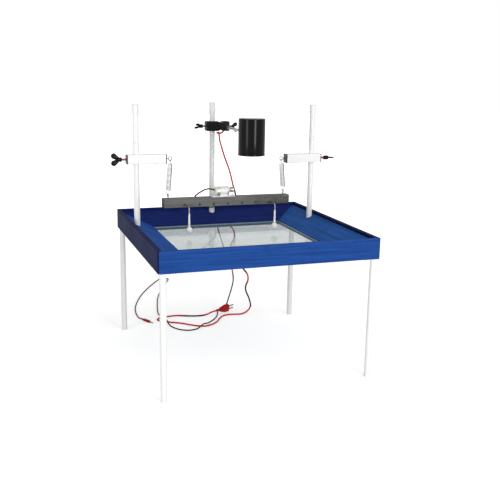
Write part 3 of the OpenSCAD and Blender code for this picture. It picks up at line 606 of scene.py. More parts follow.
whiteTube = sprayPaint("whiteTube", srgb(238, 238, 236))
whitePlastic = moulded("whitePlastic", srgb(238, 238, 236), 0.34)
darkPlastic = moulded("darkPlastic", srgb(58, 58, 58), 0.5)
blackPlastic = moulded("blackPlastic", srgb(9, 9, 10), 0.36, specular=0.12)
zincSteel = metal("zincSteel", srgb(178, 179, 176), 0.42)
brightSteel = metal("brightSteel", srgb(158, 158, 155), 0.26)
springSteel = metal("springSteel", srgb(92, 92, 90), 0.34)
nickel = metal("nickel", srgb(112, 112, 110), 0.3)
copperSteel = metal("copperSteel", srgb(150, 84, 76), 0.4)
motorMetal = metal("motorMetal", srgb(206, 203, 192), 0.34, streak=(700, 60, 60))
bossEnamel = sprayPaint("bossEnamel", srgb(12, 12, 13), 0.42, 0.3, 0.14)
lampEnamel = sprayPaint("lampEnamel", srgb(3, 3, 4), 0.14, 0.02, 0.15)
bareWood = timber("bareWood", srgb(188, 158, 116), srgb(140, 108, 74), 0)
redSheath = moulded("redSheath", srgb(204, 8, 34), 0.44, 900, specular=0.15)
blackSheath = moulded("blackSheath", srgb(10, 11, 12), 0.46, 900, specular=0.12)
redPlug = moulded("redPlug", srgb(170, 8, 16), 0.34, 900, specular=0.2)
ivory = moulded("ivory", srgb(232, 228, 214), 0.36)

glassSizes = {"tint": (150, 176, 174), "alpha": 0.47, "smear": 6.0, "smearAlpha": 0.10, "smearRough": 0.12,
              "roughness": 0.03, "gloss": 0.9, "bulb": (240, 238, 226), "bulbAlpha": 0.30, "bulbGlaze": 0.04}


def makeGlass():
    s = glassSizes
    paint = Paint("glassPaint", srgb(*s["tint"]), specular=s["gloss"])
    smear = paint.noise(s["smear"], 4, paint.stretched((1, 3, 1)))
    paint.give("Alpha", smear.rise(0.3, 0.8) * s["smearAlpha"] + s["alpha"])
    paint.give("Roughness", smear.rise(0.45, 0.8) * s["smearRough"] + s["roughness"])
    return paint


def makeBulbGlass():
    paint = Paint("bulbGlass", srgb(*glassSizes["bulb"]), glassSizes["bulbGlaze"])
    paint.give("Alpha", paint.noise(60, 2).rise(0.2, 0.9) * 0.08 + glassSizes["bulbAlpha"])
    return paint


glass, bulbGlass = makeGlass(), makeBulbGlass()
sealant = moulded("sealant", srgb(104, 124, 142), 0.3)
dress(glass, "glass_plate")
dress(sealant, "glass_seal")
dress(bareWood, "corner_blocks")
dress(zincSteel, "leg_plates", "post_sockets", "lamp_nuts")
dress(whitePlastic, "leg_caps", "post_caps", "back_post_cap", "motor_clip")
dress(darkPlastic, "cable_clip")
dress(brightSteel, "motor_shaft", "eccentric")
print("finishes made")


# Cords: twin flex, two cores side by side that turn slowly along the route; routes in millimetres
cordSizes = {"steps": 6, "sides": 18, "coreRadius": 0.44, "coreOffset": 0.06,  # in diameters
             "motorFlex": 0.0045, "lampFlex": 0.0055}


def metres(*points):
    return [tuple(c / 1000 for c in p) for p in points]


motorRoute = metres(
    (-88, 125.3, 401), (-88, 127.3, 401), (-88, 129.3, 401), (-83, 138, 400), (-70, 148, 392),
    (-48, 168, 383), (-28, 190, 377), (-10, 215, 372), (6, 240, 371), (14, 259, 372), (18, 272, 372),
    (20, 282, 368), (21, 289, 358), (23, 291, 338), (27, 293, 306), (36, 296, 280), (48, 302, 246),
    (66, 310, 198), (88, 321, 149), (96, 331, 114), (96, 341, 88), (93, 350, 64), (90, 359, 43),
    (88, 367, 25), (84, 374, 11), (75, 377, 3), (65, 374, 2), (56, 364, 2), (50, 350, 2), (45, 334, 2),
    (36, 310, 2), (18, 279, 2), (-8, 251, 2), (-22, 236, 6), (-34, 224, 8.5), (-45, 213, 6), (-60, 204, 2),
    (-84, 199, 2), (-108, 212, 2), (-124, 238, 2), (-130, 264, 3), (-132, 286, 8.5), (-134, 310, 8.5),
    (-137, 342, 8.5), (-139, 362, 3), (-138, 390, 2), (-125, 460, 2), (-101, 560, 2), (-64, 660, 2),
    (-26, 748, 2), (-16, 772, 2), (-22, 789, 2), (-38, 793, 2), (-54, 774, 2), (-98, 702, 2),
    (-141, 621, 2), (-173, 544, 2), (-196, 470, 2), (-206, 410, 2), (-207, 362, 2.5), (-205.3, 346, 4.5),
    (-200, 336, 4.5))
motorLeadRoute = metres(
    (-36, 104, 441), (-39, 104, 441), (-45, 104, 443), (-54, 105, 444), (-65, 107, 441), (-76, 111, 434),
    (-84, 116, 427), (-88, 119.9, 420), (-88, 119.9, 409), (-88, 120.2, 403), (-88, 122, 401),
    (-88, 123.5, 401), (-88, 125, 401))
lampRoute = metres(
    (30.3, 293.4, 583), (31.5, 295, 583), (32.7, 296.6, 583), (35, 300, 580), (37, 302, 570),
    (39, 302, 557), (46, 302, 534), (54, 301, 509), (70, 300, 466), (80, 298, 426), (89, 296, 389),
    (82, 294, 366), (66, 293, 346), (60, 292, 326), (67, 292, 303), (80, 292, 286), (85, 292, 270),
    (83, 292, 254), (76, 292, 239), (74, 292, 225), (84, 292, 204), (102, 292, 178), (116, 292, 156),
    (131, 294, 136), (134, 296, 116), (128, 299, 97), (130, 303, 79), (143, 310, 52), (152, 319, 28),
    (151, 322, 14), (141, 318, 6), (127, 309, 3), (111, 302, 3), (88, 306, 3), (66, 306, 3), (49, 296, 3),
    (34, 276, 3), (20, 253, 3), (-2, 231, 3), (-29, 221, 3), (-52, 231, 3), (-69, 245, 3), (-95, 269, 3),
    (-128, 289, 3), (-150, 308, 3), (-154, 324, 3), (-140, 337, 3), (-116, 342, 3), (-86, 343, 3),
    (-48, 328, 3), (-20, 322, 3), (4, 324, 4), (24, 329, 9), (40, 333, 11))
lampLeadRoute = metres(
    (42, 272, 597.7), (42, 272, 594), (39, 273, 587), (32, 275, 583), (25.5, 279, 583), (24.5, 285, 583),
    (27, 289, 583), (28.5, 291, 583), (30, 293, 583))


def between(a, b, c, d, t):  # a smooth curve from b to c, led by a and d
    return b + t * ((c - a) / 2 + t * (a - 2.5 * b + 2 * c - d / 2 + t * (1.5 * (b - c) + (d - a) / 2)))


def smooth(route, steps, radius):
    route = [Vector(p) for p in route]
    last = len(route) - 1
    line = [
        between(route[max(i - 1, 0)], route[i], route[i + 1], route[min(i + 2, last)], k / steps)
        for i in range(last) for k in range(steps)] + [route[-1]]
    return [Vector((p.x, p.y, max(p.z, radius))) for p in line]


def headings(line):
    last = len(line) - 1
    return [(line[min(i + 1, last)] - line[max(i - 1, 0)]).normalized() for i in range(len(line))]


def twinFlex(name, route, diameter, showing):  # showing: the core that faces the front at each route point
    steps, sides = cordSizes["steps"], cordSizes["sides"]
    core, offset = cordSizes["coreRadius"] * diameter, cordSizes["coreOffset"] * diameter
    line = smooth(route, steps, diameter / 2)
    ways = headings(line)
    side = ways[0].orthogonal()
    sideways = []
    for way in ways:
        side = (side - side.dot(way) * way).normalized()
        sideways.append(side)
    turns = []
    for k, shown in enumerate(showing):
        i = k * steps
        u, way = sideways[i], ways[i]
        toEye = Vector(stage["eye"]) - line[i]
        turn = math.atan2(toEye.dot(way.cross(u)), toEye.dot(u)) + (math.pi if shown == "b" else 0)
        while turns and turn - turns[-1] > math.pi:
            turn -= math.tau
        while turns and turn - turns[-1] < -math.pi:
            turn += math.tau
        turns.append(turn)
    bm = bmesh.new()
    rings = []
    for i, (p, way, u) in enumerate(zip(line, ways, sideways)):
        j = i // steps
        turn = turns[j] + (i % steps) / steps * (turns[min(j + 1, len(turns) - 1)] - turns[j])
        v = way.cross(u)
        ring = []
        for k in range(sides):
            a = math.tau * (k + 0.5) / sides
            r = offset * abs(math.cos(a)) + math.sqrt(core ** 2 - (offset * math.sin(a)) ** 2)
            ring.append(bm.verts.new(p + r * (math.cos(a + turn) * u + math.sin(a + turn) * v)))
        rings.append(ring)
    for a, b in zip(rings, rings[1:]):
        for k in range(sides):
            face = bm.faces.new([a[k], a[(k + 1) % sides], b[(k + 1) % sides], b[k]])
            face.material_index = 0 if math.cos(math.tau * (k + 1) / sides) > 0 else 1
    for end in (rings[0][::-1], rings[-1]):
        bm.faces.new(end)
    index = [f.material_index for f in bm.faces]
    mesh = meshOf(name, bm)
    return mesh, line, index


def cordPiece(name, route, diameter, body, instead, ending=()):
    mesh, line, index = twinFlex(name, route, diameter, flexShows[name])
    cores = [redSheath if "r" in flexShows[name] else blackSheath, blackSheath]
    piece = put(name, mesh, cores, body, [instead], sharp=70)
    piece.data.polygons.foreach_set("material_index", index)
    length = sum((b - a).length for a, b in zip(line, line[1:]))
    print(name, "is", round(length, 3), "m long")


# The two plugs on the floor
bananaSizes = {"neck": 0.003, "neckLength": 0.008, "sleeve": 0.0045, "sleeveLength": 0.028, "waist": 0.004,
               "ribs": 7, "ribPitch": 0.0015, "ribStart": 0.0125, "rib": 0.00045,
               "pin": 0.002, "pinLength": 0.017, "pinRoot": 0.0016, "leaves": 4, "leaf": 0.0007,
               "height": 0.0045, "turn": -62}
plugSizes = {"place": (0.040, 0.333, 0.011), "turn": (30, -8, 6), "neck": 0.0035, "neckLength": 0.012,
             "length": 0.044, "endLength": 0.014, "depth": 0.015, "width": 0.026, "edge": 0.0012,
             "frontDepth": 0.009, "frontWidth": 0.012, "corner": 0.004, "bulgeSteps": 6, "bulge": 0.75,
             "pin": 0.002, "pinLength": 0.017, "spacing": 0.014, "neckRibs": 5, "gripRibs": 5,
             "ribPitch": 0.0022, "rib": 0.0005, "grip": 0.0006, "gripReach": 0.28}


def roundedRing(x, depth, width, corner, perCorner=5):
    ring = []
    for k, (sy, sz) in enumerate([(1, 1), (-1, 1), (-1, -1), (1, -1)]):
        for step in range(perCorner):
            a = math.pi / 2 * (k + step / (perCorner - 1))
            ring.append((x, sy * (depth / 2 - corner) + corner * math.cos(a),
                         sz * (width / 2 - corner) + corner * math.sin(a)))
    return ring


def makeTwoPinPlug():
    s = plugSizes
    roll, tilt, heading = s["turn"]
    spot = at(*s["place"]) @ turned("Z", heading) @ turned("Y", tilt) @ turned("X", roll)
    start, end, edge, corner = s["neckLength"], s["length"], s["edge"], s["corner"]
    depth, width, frontDepth, frontWidth = s["depth"], s["width"], s["frontDepth"], s["frontWidth"]
    wide = end - s["endLength"]
    sections = [(start - 0.0008, frontDepth - 0.002, frontWidth - 0.002, 0.003),
                (start, frontDepth, frontWidth, 0.0035)]
    for k in range(1, s["bulgeSteps"] + 1):
        part = k / s["bulgeSteps"]
        bulge = part ** s["bulge"]
        sections.append((start + part * (wide - start), frontDepth + bulge * (depth - frontDepth),
                         frontWidth + bulge * (width - frontWidth), corner))
    sections += [(end - edge, depth, width, corner), (end, depth - 2 * edge, width - 2 * edge, 0.003)]
    bm = bmesh.new()
    addLoft(bm, [roundedRing(*section) for section in sections], spot)
    neck = s["neck"]
    addLathe(bm, [(neck * 0.85, 0.0), (neck, 0.001), (neck * 1.05, start + 0.001)], 24,
             place=spot @ along("x"))
    flat = (spot.to_3x3() @ Vector((0, 1, 0))).normalized()
    reach = Vector((0, 0, width * s["gripReach"]))
    for k in range(s["gripRibs"]):  # raised finger grips across the two flat sides
        for sign in (-1, 1):
            middle = Vector((wide + 0.002 + k * s["ribPitch"], sign * (depth / 2 - 0.0002), 0))
            addCapsule(bm, spot @ (middle - reach), spot @ (middle + reach), s["grip"], 0.6, flat, 3)
    centres = [spot @ Vector((0.0015 + k * s["ribPitch"], 0, 0)) for k in range(s["neckRibs"])]
    grips = ribs.grow(centres, [], redPlug, Radius=neck * 1.05, Thickness=s["rib"],
                      Rotation=(spot @ along("x")).to_euler())
    plug = cover("two_pin_plug", joined(meshOf("plugBody", bm), grips), redPlug, "tray")
    pin, length = s["pin"], s["pinLength"] + 0.001
    bm = bmesh.new()
    for sign in (-1, 1):
        addLathe(bm, [(0, 0), (pin, 0), (pin, length - 0.0012), (pin * 0.8, length - 0.0004),
                      (pin * 0.4, length), (0, length)], 20,
                 place=spot @ at(end - 0.001, 0, sign * s["spacing"] / 2) @ along("x"))
    return [plug, put("twoPinPlugPins", meshOf("plugPins", bm), nickel, "tray")]


def makeBananaPlug():
    s = bananaSizes
    x, y, _ = motorRoute[-1]
    spot = at(x, y, s["height"]) @ turned("Z", s["turn"]) @ along("x")
    neckEnd, sleeveEnd = s["neckLength"], s["neckLength"] + s["sleeveLength"]
    radius, waist = s["sleeve"], s["waist"]
    bm = bmesh.new()
    addLathe(bm, [
        (0.0022, 0.0), (0.0027, 0.0005), (s["neck"], neckEnd - 0.0005), (radius - 0.0009, neckEnd),
        (radius, neckEnd + 0.0015), (waist, neckEnd + 0.012), (waist, sleeveEnd - 0.006),
        (radius, sleeveEnd - 0.003), (radius - 0.0004, sleeveEnd - 0.0003), (radius - 0.001, sleeveEnd)],
        32, place=spot)
    centres = [spot @ Vector((0, 0, neckEnd + s["ribStart"] + k * s["ribPitch"])) for k in range(s["ribs"])]
    grips = ribs.grow(centres, [], redPlug, Radius=waist, Thickness=s["rib"], Rotation=spot.to_euler())
    sleeve = put("bananaSleeve", joined(meshOf("sleeve", bm), grips), redPlug, "tray", ["banana_plug"])
    root, pin, end = s["pinRoot"], s["pin"], sleeveEnd + s["pinLength"]
    bm = bmesh.new()
    addLathe(bm, [(0, sleeveEnd - 0.001), (root, sleeveEnd - 0.001), (root, sleeveEnd + 0.002),
                  (pin, sleeveEnd + 0.005), (pin, sleeveEnd + 0.010), (root - 0.0001, end - 0.002),
                  (0.0009, end - 0.0003), (0, end)], 24, place=spot)
    for k in range(s["leaves"]):  # the leaves of the contact
        leaf = spot @ turned("Z", 360 / s["leaves"] * k)
        addCapsule(bm, leaf @ Vector((pin - 0.0003, 0, sleeveEnd + 0.003)),
                   leaf @ Vector((pin - 0.0003, 0, sleeveEnd + 0.012)), s["leaf"], 0.5,
                   (leaf.to_3x3() @ Vector((1, 0, 0))).normalized(), 4)
    return [sleeve, put("bananaPin", meshOf("bananaPin", bm), nickel, "tray")]


# Where the cords pass behind and under the beam (the motor cable's stretch just below it, the lamp cable's
# points 10 to 12), the black core is turned to the front as painted shade
flexShows = {  # red or black core in front, by route point
    "motorCable": "b" * 17 + "rr" + "b" * (len(motorRoute) - 19),
    "motorLead": "b" * len(motorLeadRoute),
    "lampCable": "r" * 10 + "bbb" + "r" * 7 + "bbb" + "rr" + "bbbb" + "r" * 20 + "bb" + "rrr",
    "lampLead": "r" * len(lampLeadRoute),
}
motorFlex, lampFlex = cordSizes["motorFlex"], cordSizes["lampFlex"]
cordPiece("motorCable", motorRoute, motorFlex, "tray", "motor_cable", makeBananaPlug())
cordPiece("motorLead", motorLeadRoute, motorFlex, "beam", "motor_lead")
cordPiece("lampCable", lampRoute, lampFlex, "tray", "lamp_cable", makeTwoPinPlug())
cordPiece("lampLead", lampLeadRoute, lampFlex, "boss", "lamp_lead")
print("cords made")


# Legs and posts: smooth tubes with eased ends
tubeSizes = {"wall": 0.0012, "armWall": 0.0015, "ease": 0.0004, "segments": 48}


def makeTube(node, body, paint, wall, axis="z"):
    low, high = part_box(node)
    k = "xyz".index(axis)
    middle = (low + high) / 2
    middle[k] = 0
    radius = (high[(k + 1) % 3] - low[(k + 1) % 3]) / 2
    inner, ease = radius - wall, tubeSizes["ease"]
    bm = bmesh.new()
    addLathe(bm, [(inner, low[k]), (radius - ease, low[k]), (radius, low[k] + ease), (radius, high[k] - ease),
                  (radius - ease, high[k]), (inner, high[k])], tubeSizes["segments"], True,
             at(*middle) @ along(axis))
    cover(node, meshOf(node, bm), paint, body)


for node in ("front_left_leg", "front_right_leg", "back_left_leg", "back_right_leg",
             "left_post", "right_post"):
    makeTube(node, "tray", whiteTube, tubeSizes["wall"])
makeTube("back_post", "back_post", whiteTube, tubeSizes["wall"])
makeTube("lamp_arm", "lamp_arm", zincSteel, tubeSizes["armWall"], "y")
print("tubes made")


# Arms: square tubes with round corners, with plugs, screw rings and wing screws
armSizes = {"corner": 0.0022, "ease": 0.0003, "wall": 0.0015, "postGap": 0.0001, "plugFlange": 0.003,
            "plugLength": 0.006, "plugCorner": 0.0018, "ringRadius": 0.0049, "ringSteps": 28, "wire": 0.0011,
            "wireSides": 14, "eyeShank": 0.012, "plain": 0.003, "pitch": 0.0008}


def squareRing(x, low, high, inset, corner, perCorner=6):
    middle = (low + high) / 2
    return [(x, middle.y + p[1], middle.z + p[2]) for p in roundedRing(
        x, high.y - low.y - 2 * inset, high.z - low.z - 2 * inset, corner, perCorner)]


def makeArm(side, postX):
    s = armSizes
    node = side + "_arm"
    low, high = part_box(node)
    wall, ease, corner = s["wall"], s["ease"], s["corner"]
    bm = bmesh.new()
    addLoft(bm, [squareRing(x, low, high, inset, bend) for x, inset, bend in (
        (low.x, wall, corner / 2), (low.x, ease, corner), (low.x + ease, 0, corner),
        (high.x - ease, 0, corner), (high.x, ease, corner), (high.x, wall, corner / 2))], loop=True)
    bore = bmesh.new()
    postLow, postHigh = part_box(side + "_post")
    addRod(bore, (postHigh.x - postLow.x) / 2 + s["postGap"], low.z, high.z, 64,
           at(postX, (low.y + high.y) / 2, 0))
    cover(node, cut(meshOf(node, bm), bore), whiteTube, node)
    bm = bmesh.new()
    for x in (low.x - s["plugFlange"], high.x):
        addBox(bm, (x, low.y, low.z), (x + s["plugFlange"], high.y, high.z), bevel=s["plugCorner"] / 2)
    inset, length = wall + s["postGap"], s["plugLength"]
    for x in (low.x, high.x - length):
        addBox(bm, (x, low.y + inset, low.z + inset), (x + length, high.y - inset, high.z - inset))
    cover(node + "_plugs", meshOf(node + "Plugs", bm), darkPlastic, node)


def ringAndShank(centre, toShank, shankLength, ringAcross):
    s = armSizes
    radius, steps = s["ringRadius"], s["ringSteps"]
    ring = [centre + radius * (math.cos(a) * toShank + math.sin(a) * ringAcross)
            for a in (math.tau * k / steps for k in range(steps))]
    shank = [centre + radius * toShank, centre + (radius + shankLength) * toShank]
    edges = chain(ring, True) + chain(shank, start=len(ring))
    eye = wires.grow(ring + shank, edges, springSteel, Radius=s["wire"], Sides=s["wireSides"])
    wound = threads.grow([centre + (radius + s["plain"]) * toShank], [], springSteel, Radius=s["wire"],
                         Length=shankLength - s["plain"], Pitch=s["pitch"],
                         Rotation=toShank.to_track_quat("Z", "Y").to_euler())
    return joined(eye, wound)


def makeHooks():
    radius, wire = armSizes["ringRadius"], armSizes["wire"]
    for side, sign in (("left", -1), ("right", 1)):
        low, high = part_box(side + "_arm_hook")
        tip = low.x if sign > 0 else high.x
        centre = Vector((tip + sign * (radius + wire), (low.y + high.y) / 2, (low.z + high.z) / 2))
        mesh = ringAndShank(centre, Vector((sign, 0, 0)), abs(high.x - low.x) - 2 * radius - wire,
                            Vector((0, 0, 1)))
        cover(side + "_arm_hook", mesh, springSteel, side + "_arm", 60)
    low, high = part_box("beam_eyes")
    meshes = []
    for x in (low.x + wire, high.x - wire):
        centre = Vector((x, (low.y + high.y) / 2, high.z - radius - wire))
        meshes.append(ringAndShank(centre, Vector((0, 0, -1)), armSizes["eyeShank"], Vector((0, 1, 0))))
    cover("beam_eyes", joined(*meshes), springSteel, "beam", 60)


def makeWingScrew(node, origin, outward, roll, shank, s):  # s: its length, span, wall, tip and thread
    name = camel(node)
    spot = at(*origin) @ turned("X", roll)
    if outward < 0:
        spot = spot @ turned("Z", 180)
    length, wall, tip, thread = s["length"], s["wall"], s["tip"], s["thread"]
    hub, lying = thread + 0.003, spot @ along("x")
    bm = bmesh.new()
    addLathe(bm, [(0, shank), (hub - 0.0006, shank), (hub, shank + 0.0006), (hub, shank + length * 0.40),
                  (hub - 0.001, shank + length / 2), (0, shank + length / 2 + 0.0005)], 32, place=lying)
    side = (spot.to_3x3() @ Vector((0, 1, 0))).normalized()
    for sign in (-1, 1):
        start = spot @ Vector((shank + wall, 0, 0))
        end = spot @ Vector((shank + length - tip, 0, sign * (s["span"] / 2 - tip)))
        addCapsule(bm, start, end, wall * 0.7, 0.72, side, endRadius=tip)
    cover(node, meshOf(name, bm), blackPlastic, node, 50)
    core = thread - 0.0002
    bm = bmesh.new()
    addLathe(bm, [(0, 0), (thread * 0.7, 0), (core, 0.0008), (core, shank + 0.002), (0, shank + 0.002)],
             24, place=lying)
    wound = threads.grow([spot @ Vector((0.001, 0, 0))], [], copperSteel, Radius=thread - 0.0003,
                         Length=shank - 0.001, Pitch=0.001, Rotation=lying.to_euler())
    put(name + "Thread", joined(meshOf(name, bm), wound), copperSteel, node, sharp=60)


wingSizes = {"gap": 0.0083, "reach": 0.0390, "length": 0.028, "span": 0.034, "wall": 0.005, "tip": 0.0075,
             "thread": 0.003, "turns": {"left": 0, "right": 85}}
for side, sign in (("left", -1), ("right", 1)):
    post = (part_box(side + "_post")[0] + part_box(side + "_post")[1]) / 2
    makeArm(side, post.x)
    low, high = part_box(side + "_arm")
    makeWingScrew(side + "_arm_screw", (post.x + sign * wingSizes["gap"], post.y, (low.z + high.z) / 2), sign,
                  wingSizes["turns"][side], wingSizes["reach"] - wingSizes["gap"], wingSizes)
makeHooks()
print("arms made")


# Springs: close coils with a hook at each end
springSizes = {"wire": 0.0007, "sides": 10, "coil": 0.0068, "turns": 22.25, "perTurn": 26, "loop": 0.0045,
               "neck": 0.002, "play": 0.0003, "hookStart": 120, "hookStep": 10, "hookSteps": 31}


def makeSpring(side, sign):
    s = springSizes
    loop, coil, wire = s["loop"], s["coil"], armSizes["wire"]
    hook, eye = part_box(side + "_arm_hook"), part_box("beam_eyes")
    armY = (hook[0].y + hook[1].y) / 2
    reach = armSizes["ringRadius"] + wire
    inner = hook[0].x if sign > 0 else hook[1].x
    outer = eye[1].x if sign > 0 else eye[0].x
    slack = armSizes["ringRadius"] - (wire + s["wire"]) - s["play"]
    top = Vector((inner + sign * reach, armY, (hook[0].z + hook[1].z) / 2 - slack - loop))
    foot = Vector((outer - sign * wire, armY, eye[1].z - reach + slack + loop))
    coilTop, coilFoot = top.z - loop - s["neck"], foot.z + loop + s["neck"]
    bends = [math.radians(-s["hookStep"] * k) for k in range(s["hookSteps"])]
    start = math.radians(s["hookStart"])
    upper = [top + loop * Vector((0, math.sin(start + a), math.cos(start + a))) for a in bends]
    count = math.ceil(s["turns"] * s["perTurn"])
    body = []
    for i in range(count + 1):
        part = i / count
        z, a = coilTop + part * (coilFoot - coilTop), math.tau * s["turns"] * part
        middle = top.lerp(foot, (top.z - z) / (top.z - foot.z))
        body.append(Vector((middle.x + coil * math.sin(a), armY + coil * math.cos(a), z)))
    lower = [foot + loop * Vector((math.sin(a), 0, math.cos(a))) for a in bends]
    line = upper + body + lower
    mesh = wires.grow(line, chain(line), springSteel, Radius=s["wire"], Sides=s["sides"])
    spring = cover(side + "_spring", mesh, springSteel, None, 80)
    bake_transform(spring)


makeSpring("left", -1)
makeSpring("right", 1)
print("springs made")


# Beam: grey timber with eased edges and a row of holes
# grime is the dark colour of the painted shade round the holes and at the ends, and of the stains near the
# right end
beamSizes = {"edge": 0.0010, "holePitch": 0.041, "holeRadius": 0.0016, "holeRise": 0.0065, "holes": 7,
             "colour": (110, 110, 107), "stain": (66, 64, 52), "grime": (44, 38, 34), "grimeRadius": 0.0048,
             "dirtyEnd": 0.085}


def makeBeamPaint(low, high):
    s = beamSizes
    pitch = s["holePitch"]
    paint = timber("beamPaint", srgb(*s["colour"]), srgb(*s["stain"]), 0, specular=0.15)
    x, _, z = paint.axes()
    across = (x / pitch).maths("PINGPONG", 0.5) * pitch
    across = across + x.maths("ABSOLUTE").rise(pitch * 3.3, pitch * 3.5)  # none beyond the last hole
    rise = z - (low.z + s["holeRise"])
    fromHole = (across * across + rise * rise).maths("SQRT") + (paint.noise(220, 4) - 0.5) * 0.004
    # A dark ring round each hole, reaching past its edge: painted shade of the hole
    grime = 1 - fromHole.rise(s["holeRadius"] * 0.8, s["grimeRadius"])
    # The end faces and a thin band beside them darkened: painted shade
    fromEnd = (x - low.x).least(high.x - x) + (paint.noise(180, 4) - 0.5) * 0.003
    rightEnd = x.rise(high.x - s["dirtyEnd"], high.x) * paint.noise(28, 4).rise(0.42, 0.62)
    # The dark mix: painted shade round the holes and at the ends, and real stains near the right end
    dirt = (grime * 0.85).most((1 - fromEnd.rise(0.0004, 0.0022)) * 0.8).most(rightEnd * 0.55)
    base = paint.surface.inputs["Base Color"].links[0].from_socket
    paint.give("Base Color", paint.mix(dirt, Value(paint, base), srgb(*s["grime"])))
    return paint


def makeBeam():
    s = beamSizes
    low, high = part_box("beam")
    bm = bmesh.new()
    addBox(bm, low, high, bevel=s["edge"])
    knives = bmesh.new()
    for k in range(s["holes"]):
        x = (k - s["holes"] // 2) * s["holePitch"]
        place = at(x, 0, low.z + s["holeRise"]) @ along("y")
        addRod(knives, s["holeRadius"], low.y, high.y, 20, place, 0.002)
    bar = cut(meshOf("beamBar", bm), knives)
    put("beamBar", bar, makeBeamPaint(low, high), "beam", ["beam"])


makeBeam()


# Motor: a steel can with a rolled seam, an ivory end bell with two tabs
motorSizes = {"nose": 0.002, "noseRadius": 0.004, "shaftHole": 0.0013, "holeDepth": 0.011, "seam": 0.0004,
              "segments": 64, "hub": 0.0036, "hubRise": 0.0006, "tabs": 0.0055, "tabHalf": 0.0014,
              "tabFoot": 0.0042, "tabTop": 0.0048, "tabReach": 0.0035}


def makeMotor():
    s = motorSizes
    low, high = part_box("motor_can")
    radius, z, y = (high.z - low.z) / 2, (high.z + low.z) / 2, (high.y + low.y) / 2
    front, nose, hole, seam = high.x - s["nose"], s["noseRadius"], s["shaftHole"], radius - s["seam"]
    holeEnd = high.x - s["holeDepth"]
    spot = at(0, y, z) @ along("x")
    bm = bmesh.new()
    addLathe(bm, [
        (0, low.x), (radius - 0.0008, low.x), (radius, low.x + 0.0008), (radius, low.x + 0.0022),
        (seam, low.x + 0.0026), (seam, low.x + 0.0034), (radius, low.x + 0.0038),
        (radius, front - 0.0018), (radius - 0.0005, front - 0.0006), (radius - 0.0018, front),
        (nose + 0.001, front), (nose, front + 0.0004), (nose, high.x - 0.0003),
        (nose - 0.0004, high.x), (hole, high.x), (hole, holeEnd), (0, holeEnd)], s["segments"], place=spot)
    cover("motor_can", meshOf("motorCan", bm), motorMetal, "beam")
    left, right, hub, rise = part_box("motor_end_bell")[0].x, low.x - 0.0002, s["hub"], s["hubRise"]
    bm = bmesh.new()
    addLathe(bm, [(0, left), (radius - 0.0022, left), (radius - 0.001, left + 0.001), (radius, left + 0.0014),
                  (radius, right), (0, right)], s["segments"], place=spot)
    addLathe(bm, [(0, left - rise), (hub - rise, left - rise), (hub, left), (hub, left + 0.001),
                  (0, left + 0.001)], 32, place=spot)
    cover("motor_end_bell", meshOf("bell", bm), ivory, "beam")
    bm = bmesh.new()
    for sign in (-1, 1):
        tabY = y + sign * s["tabs"]
        addBox(bm, (left - s["tabReach"], tabY - s["tabHalf"], z + s["tabFoot"]),
               (left + 0.001, tabY + s["tabHalf"], z + s["tabTop"]), bevel=0.0002, segments=1)
    put("motorTabs", meshOf("tabs", bm), nickel, "beam")


makeMotor()

screwSizes = {  # head's radius and height, shank's radius and length
    "plate": (0.0034, 0.0018, 0.00175, 0.0160), "clip": (0.0024, 0.0016, 0.0012, 0.0100),
    "plateInset": 0.002, "near": 0.019, "far": 0.034, "slotTurn": 0.6}


def placeScrews(node, kind, body, centres, turn):
    headRadius, headHeight, shankRadius, shankLength = screwSizes[kind]
    mesh = screws.grow(centres, [], zincSteel, HeadRadius=headRadius, HeadHeight=headHeight,
                       ShankRadius=shankRadius, ShankLength=shankLength, Rotation=turn)
    cover(node, mesh, zincSteel, body)


def makeScrews():
    s = screwSizes
    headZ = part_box("plate_screws")[0].z + s["plate"][1] / 2
    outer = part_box("leg_plates")[1].x + s["plateInset"]  # the tray's outer face
    near, far = outer - s["near"], outer - s["far"]
    corners = [(sx * x, sy * y, headZ) for sx in (-1, 1) for sy in (-1, 1)
               for x, y in ((near, far), (far, near), (far, far))]
    placeScrews("plate_screws", "plate", "tray", corners, (math.pi, 0, 0))
    low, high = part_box("clip_screws")
    headRadius, headHeight = s["clip"][:2]
    heads = [(x, (low.y + high.y) / 2, high.z - headHeight / 2)
             for x in (low.x + headRadius, high.x - headRadius)]
    placeScrews("clip_screws", "clip", "beam", heads, (0, 0, s["slotTurn"]))


makeScrews()
print("beam and motor made")


# Dippers: bent wire with a white stem and a ball
dipperSizes = {"wire": 0.00155, "sides": 18, "bend": 0.006, "bendSteps": 8, "ball": 0.00875, "ballSteps": 22,
               "stemFoot": 0.0032, "stemTop": 0.0022, "stemLength": 0.046}


def makeDipper(side):
    s = dipperSizes
    low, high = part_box(side + "_dipper")
    radius, bend = s["ball"], s["bend"]
    x, bendY, holeZ, ballZ = (low.x + high.x) / 2, low.y + radius, high.z - s["wire"], low.z + radius
    stemTop = ballZ + s["stemLength"]
    line = [Vector((x, high.y, holeZ)), Vector((x, bendY + bend, holeZ))]
    line += [Vector((x, bendY + bend * (1 - math.sin(a)), holeZ - bend * (1 - math.cos(a))))
             for a in (math.pi / 2 * k / s["bendSteps"] for k in range(1, s["bendSteps"] + 1))]
    line.append(Vector((x, bendY, stemTop - 0.002)))
    wire = wires.grow(line, chain(line), brightSteel, Radius=s["wire"], Sides=s["sides"])
    put(side + "DipperWire", wire, brightSteel, side + "_dipper", sharp=60)
    meet = math.asin(s["stemFoot"] / radius)
    ball = [(radius * math.sin(a), ballZ - radius * math.cos(a))
            for a in ((math.pi - meet) * k / s["ballSteps"] for k in range(s["ballSteps"] + 1))]
    stem = [(s["stemFoot"] * 0.96, ballZ + radius + 0.0006), (s["stemTop"], stemTop - 0.0006),
            (s["stemTop"] - 0.0005, stemTop), (0, stemTop)]
    bm = bmesh.new()
    addLathe(bm, ball + stem, 40, place=at(x, bendY, 0))
    put(side + "DipperBall", meshOf("ball", bm), whitePlastic, side + "_dipper", [side + "_dipper"],
        sharp=50)


makeDipper("left")
makeDipper("right")
print("dippers made")


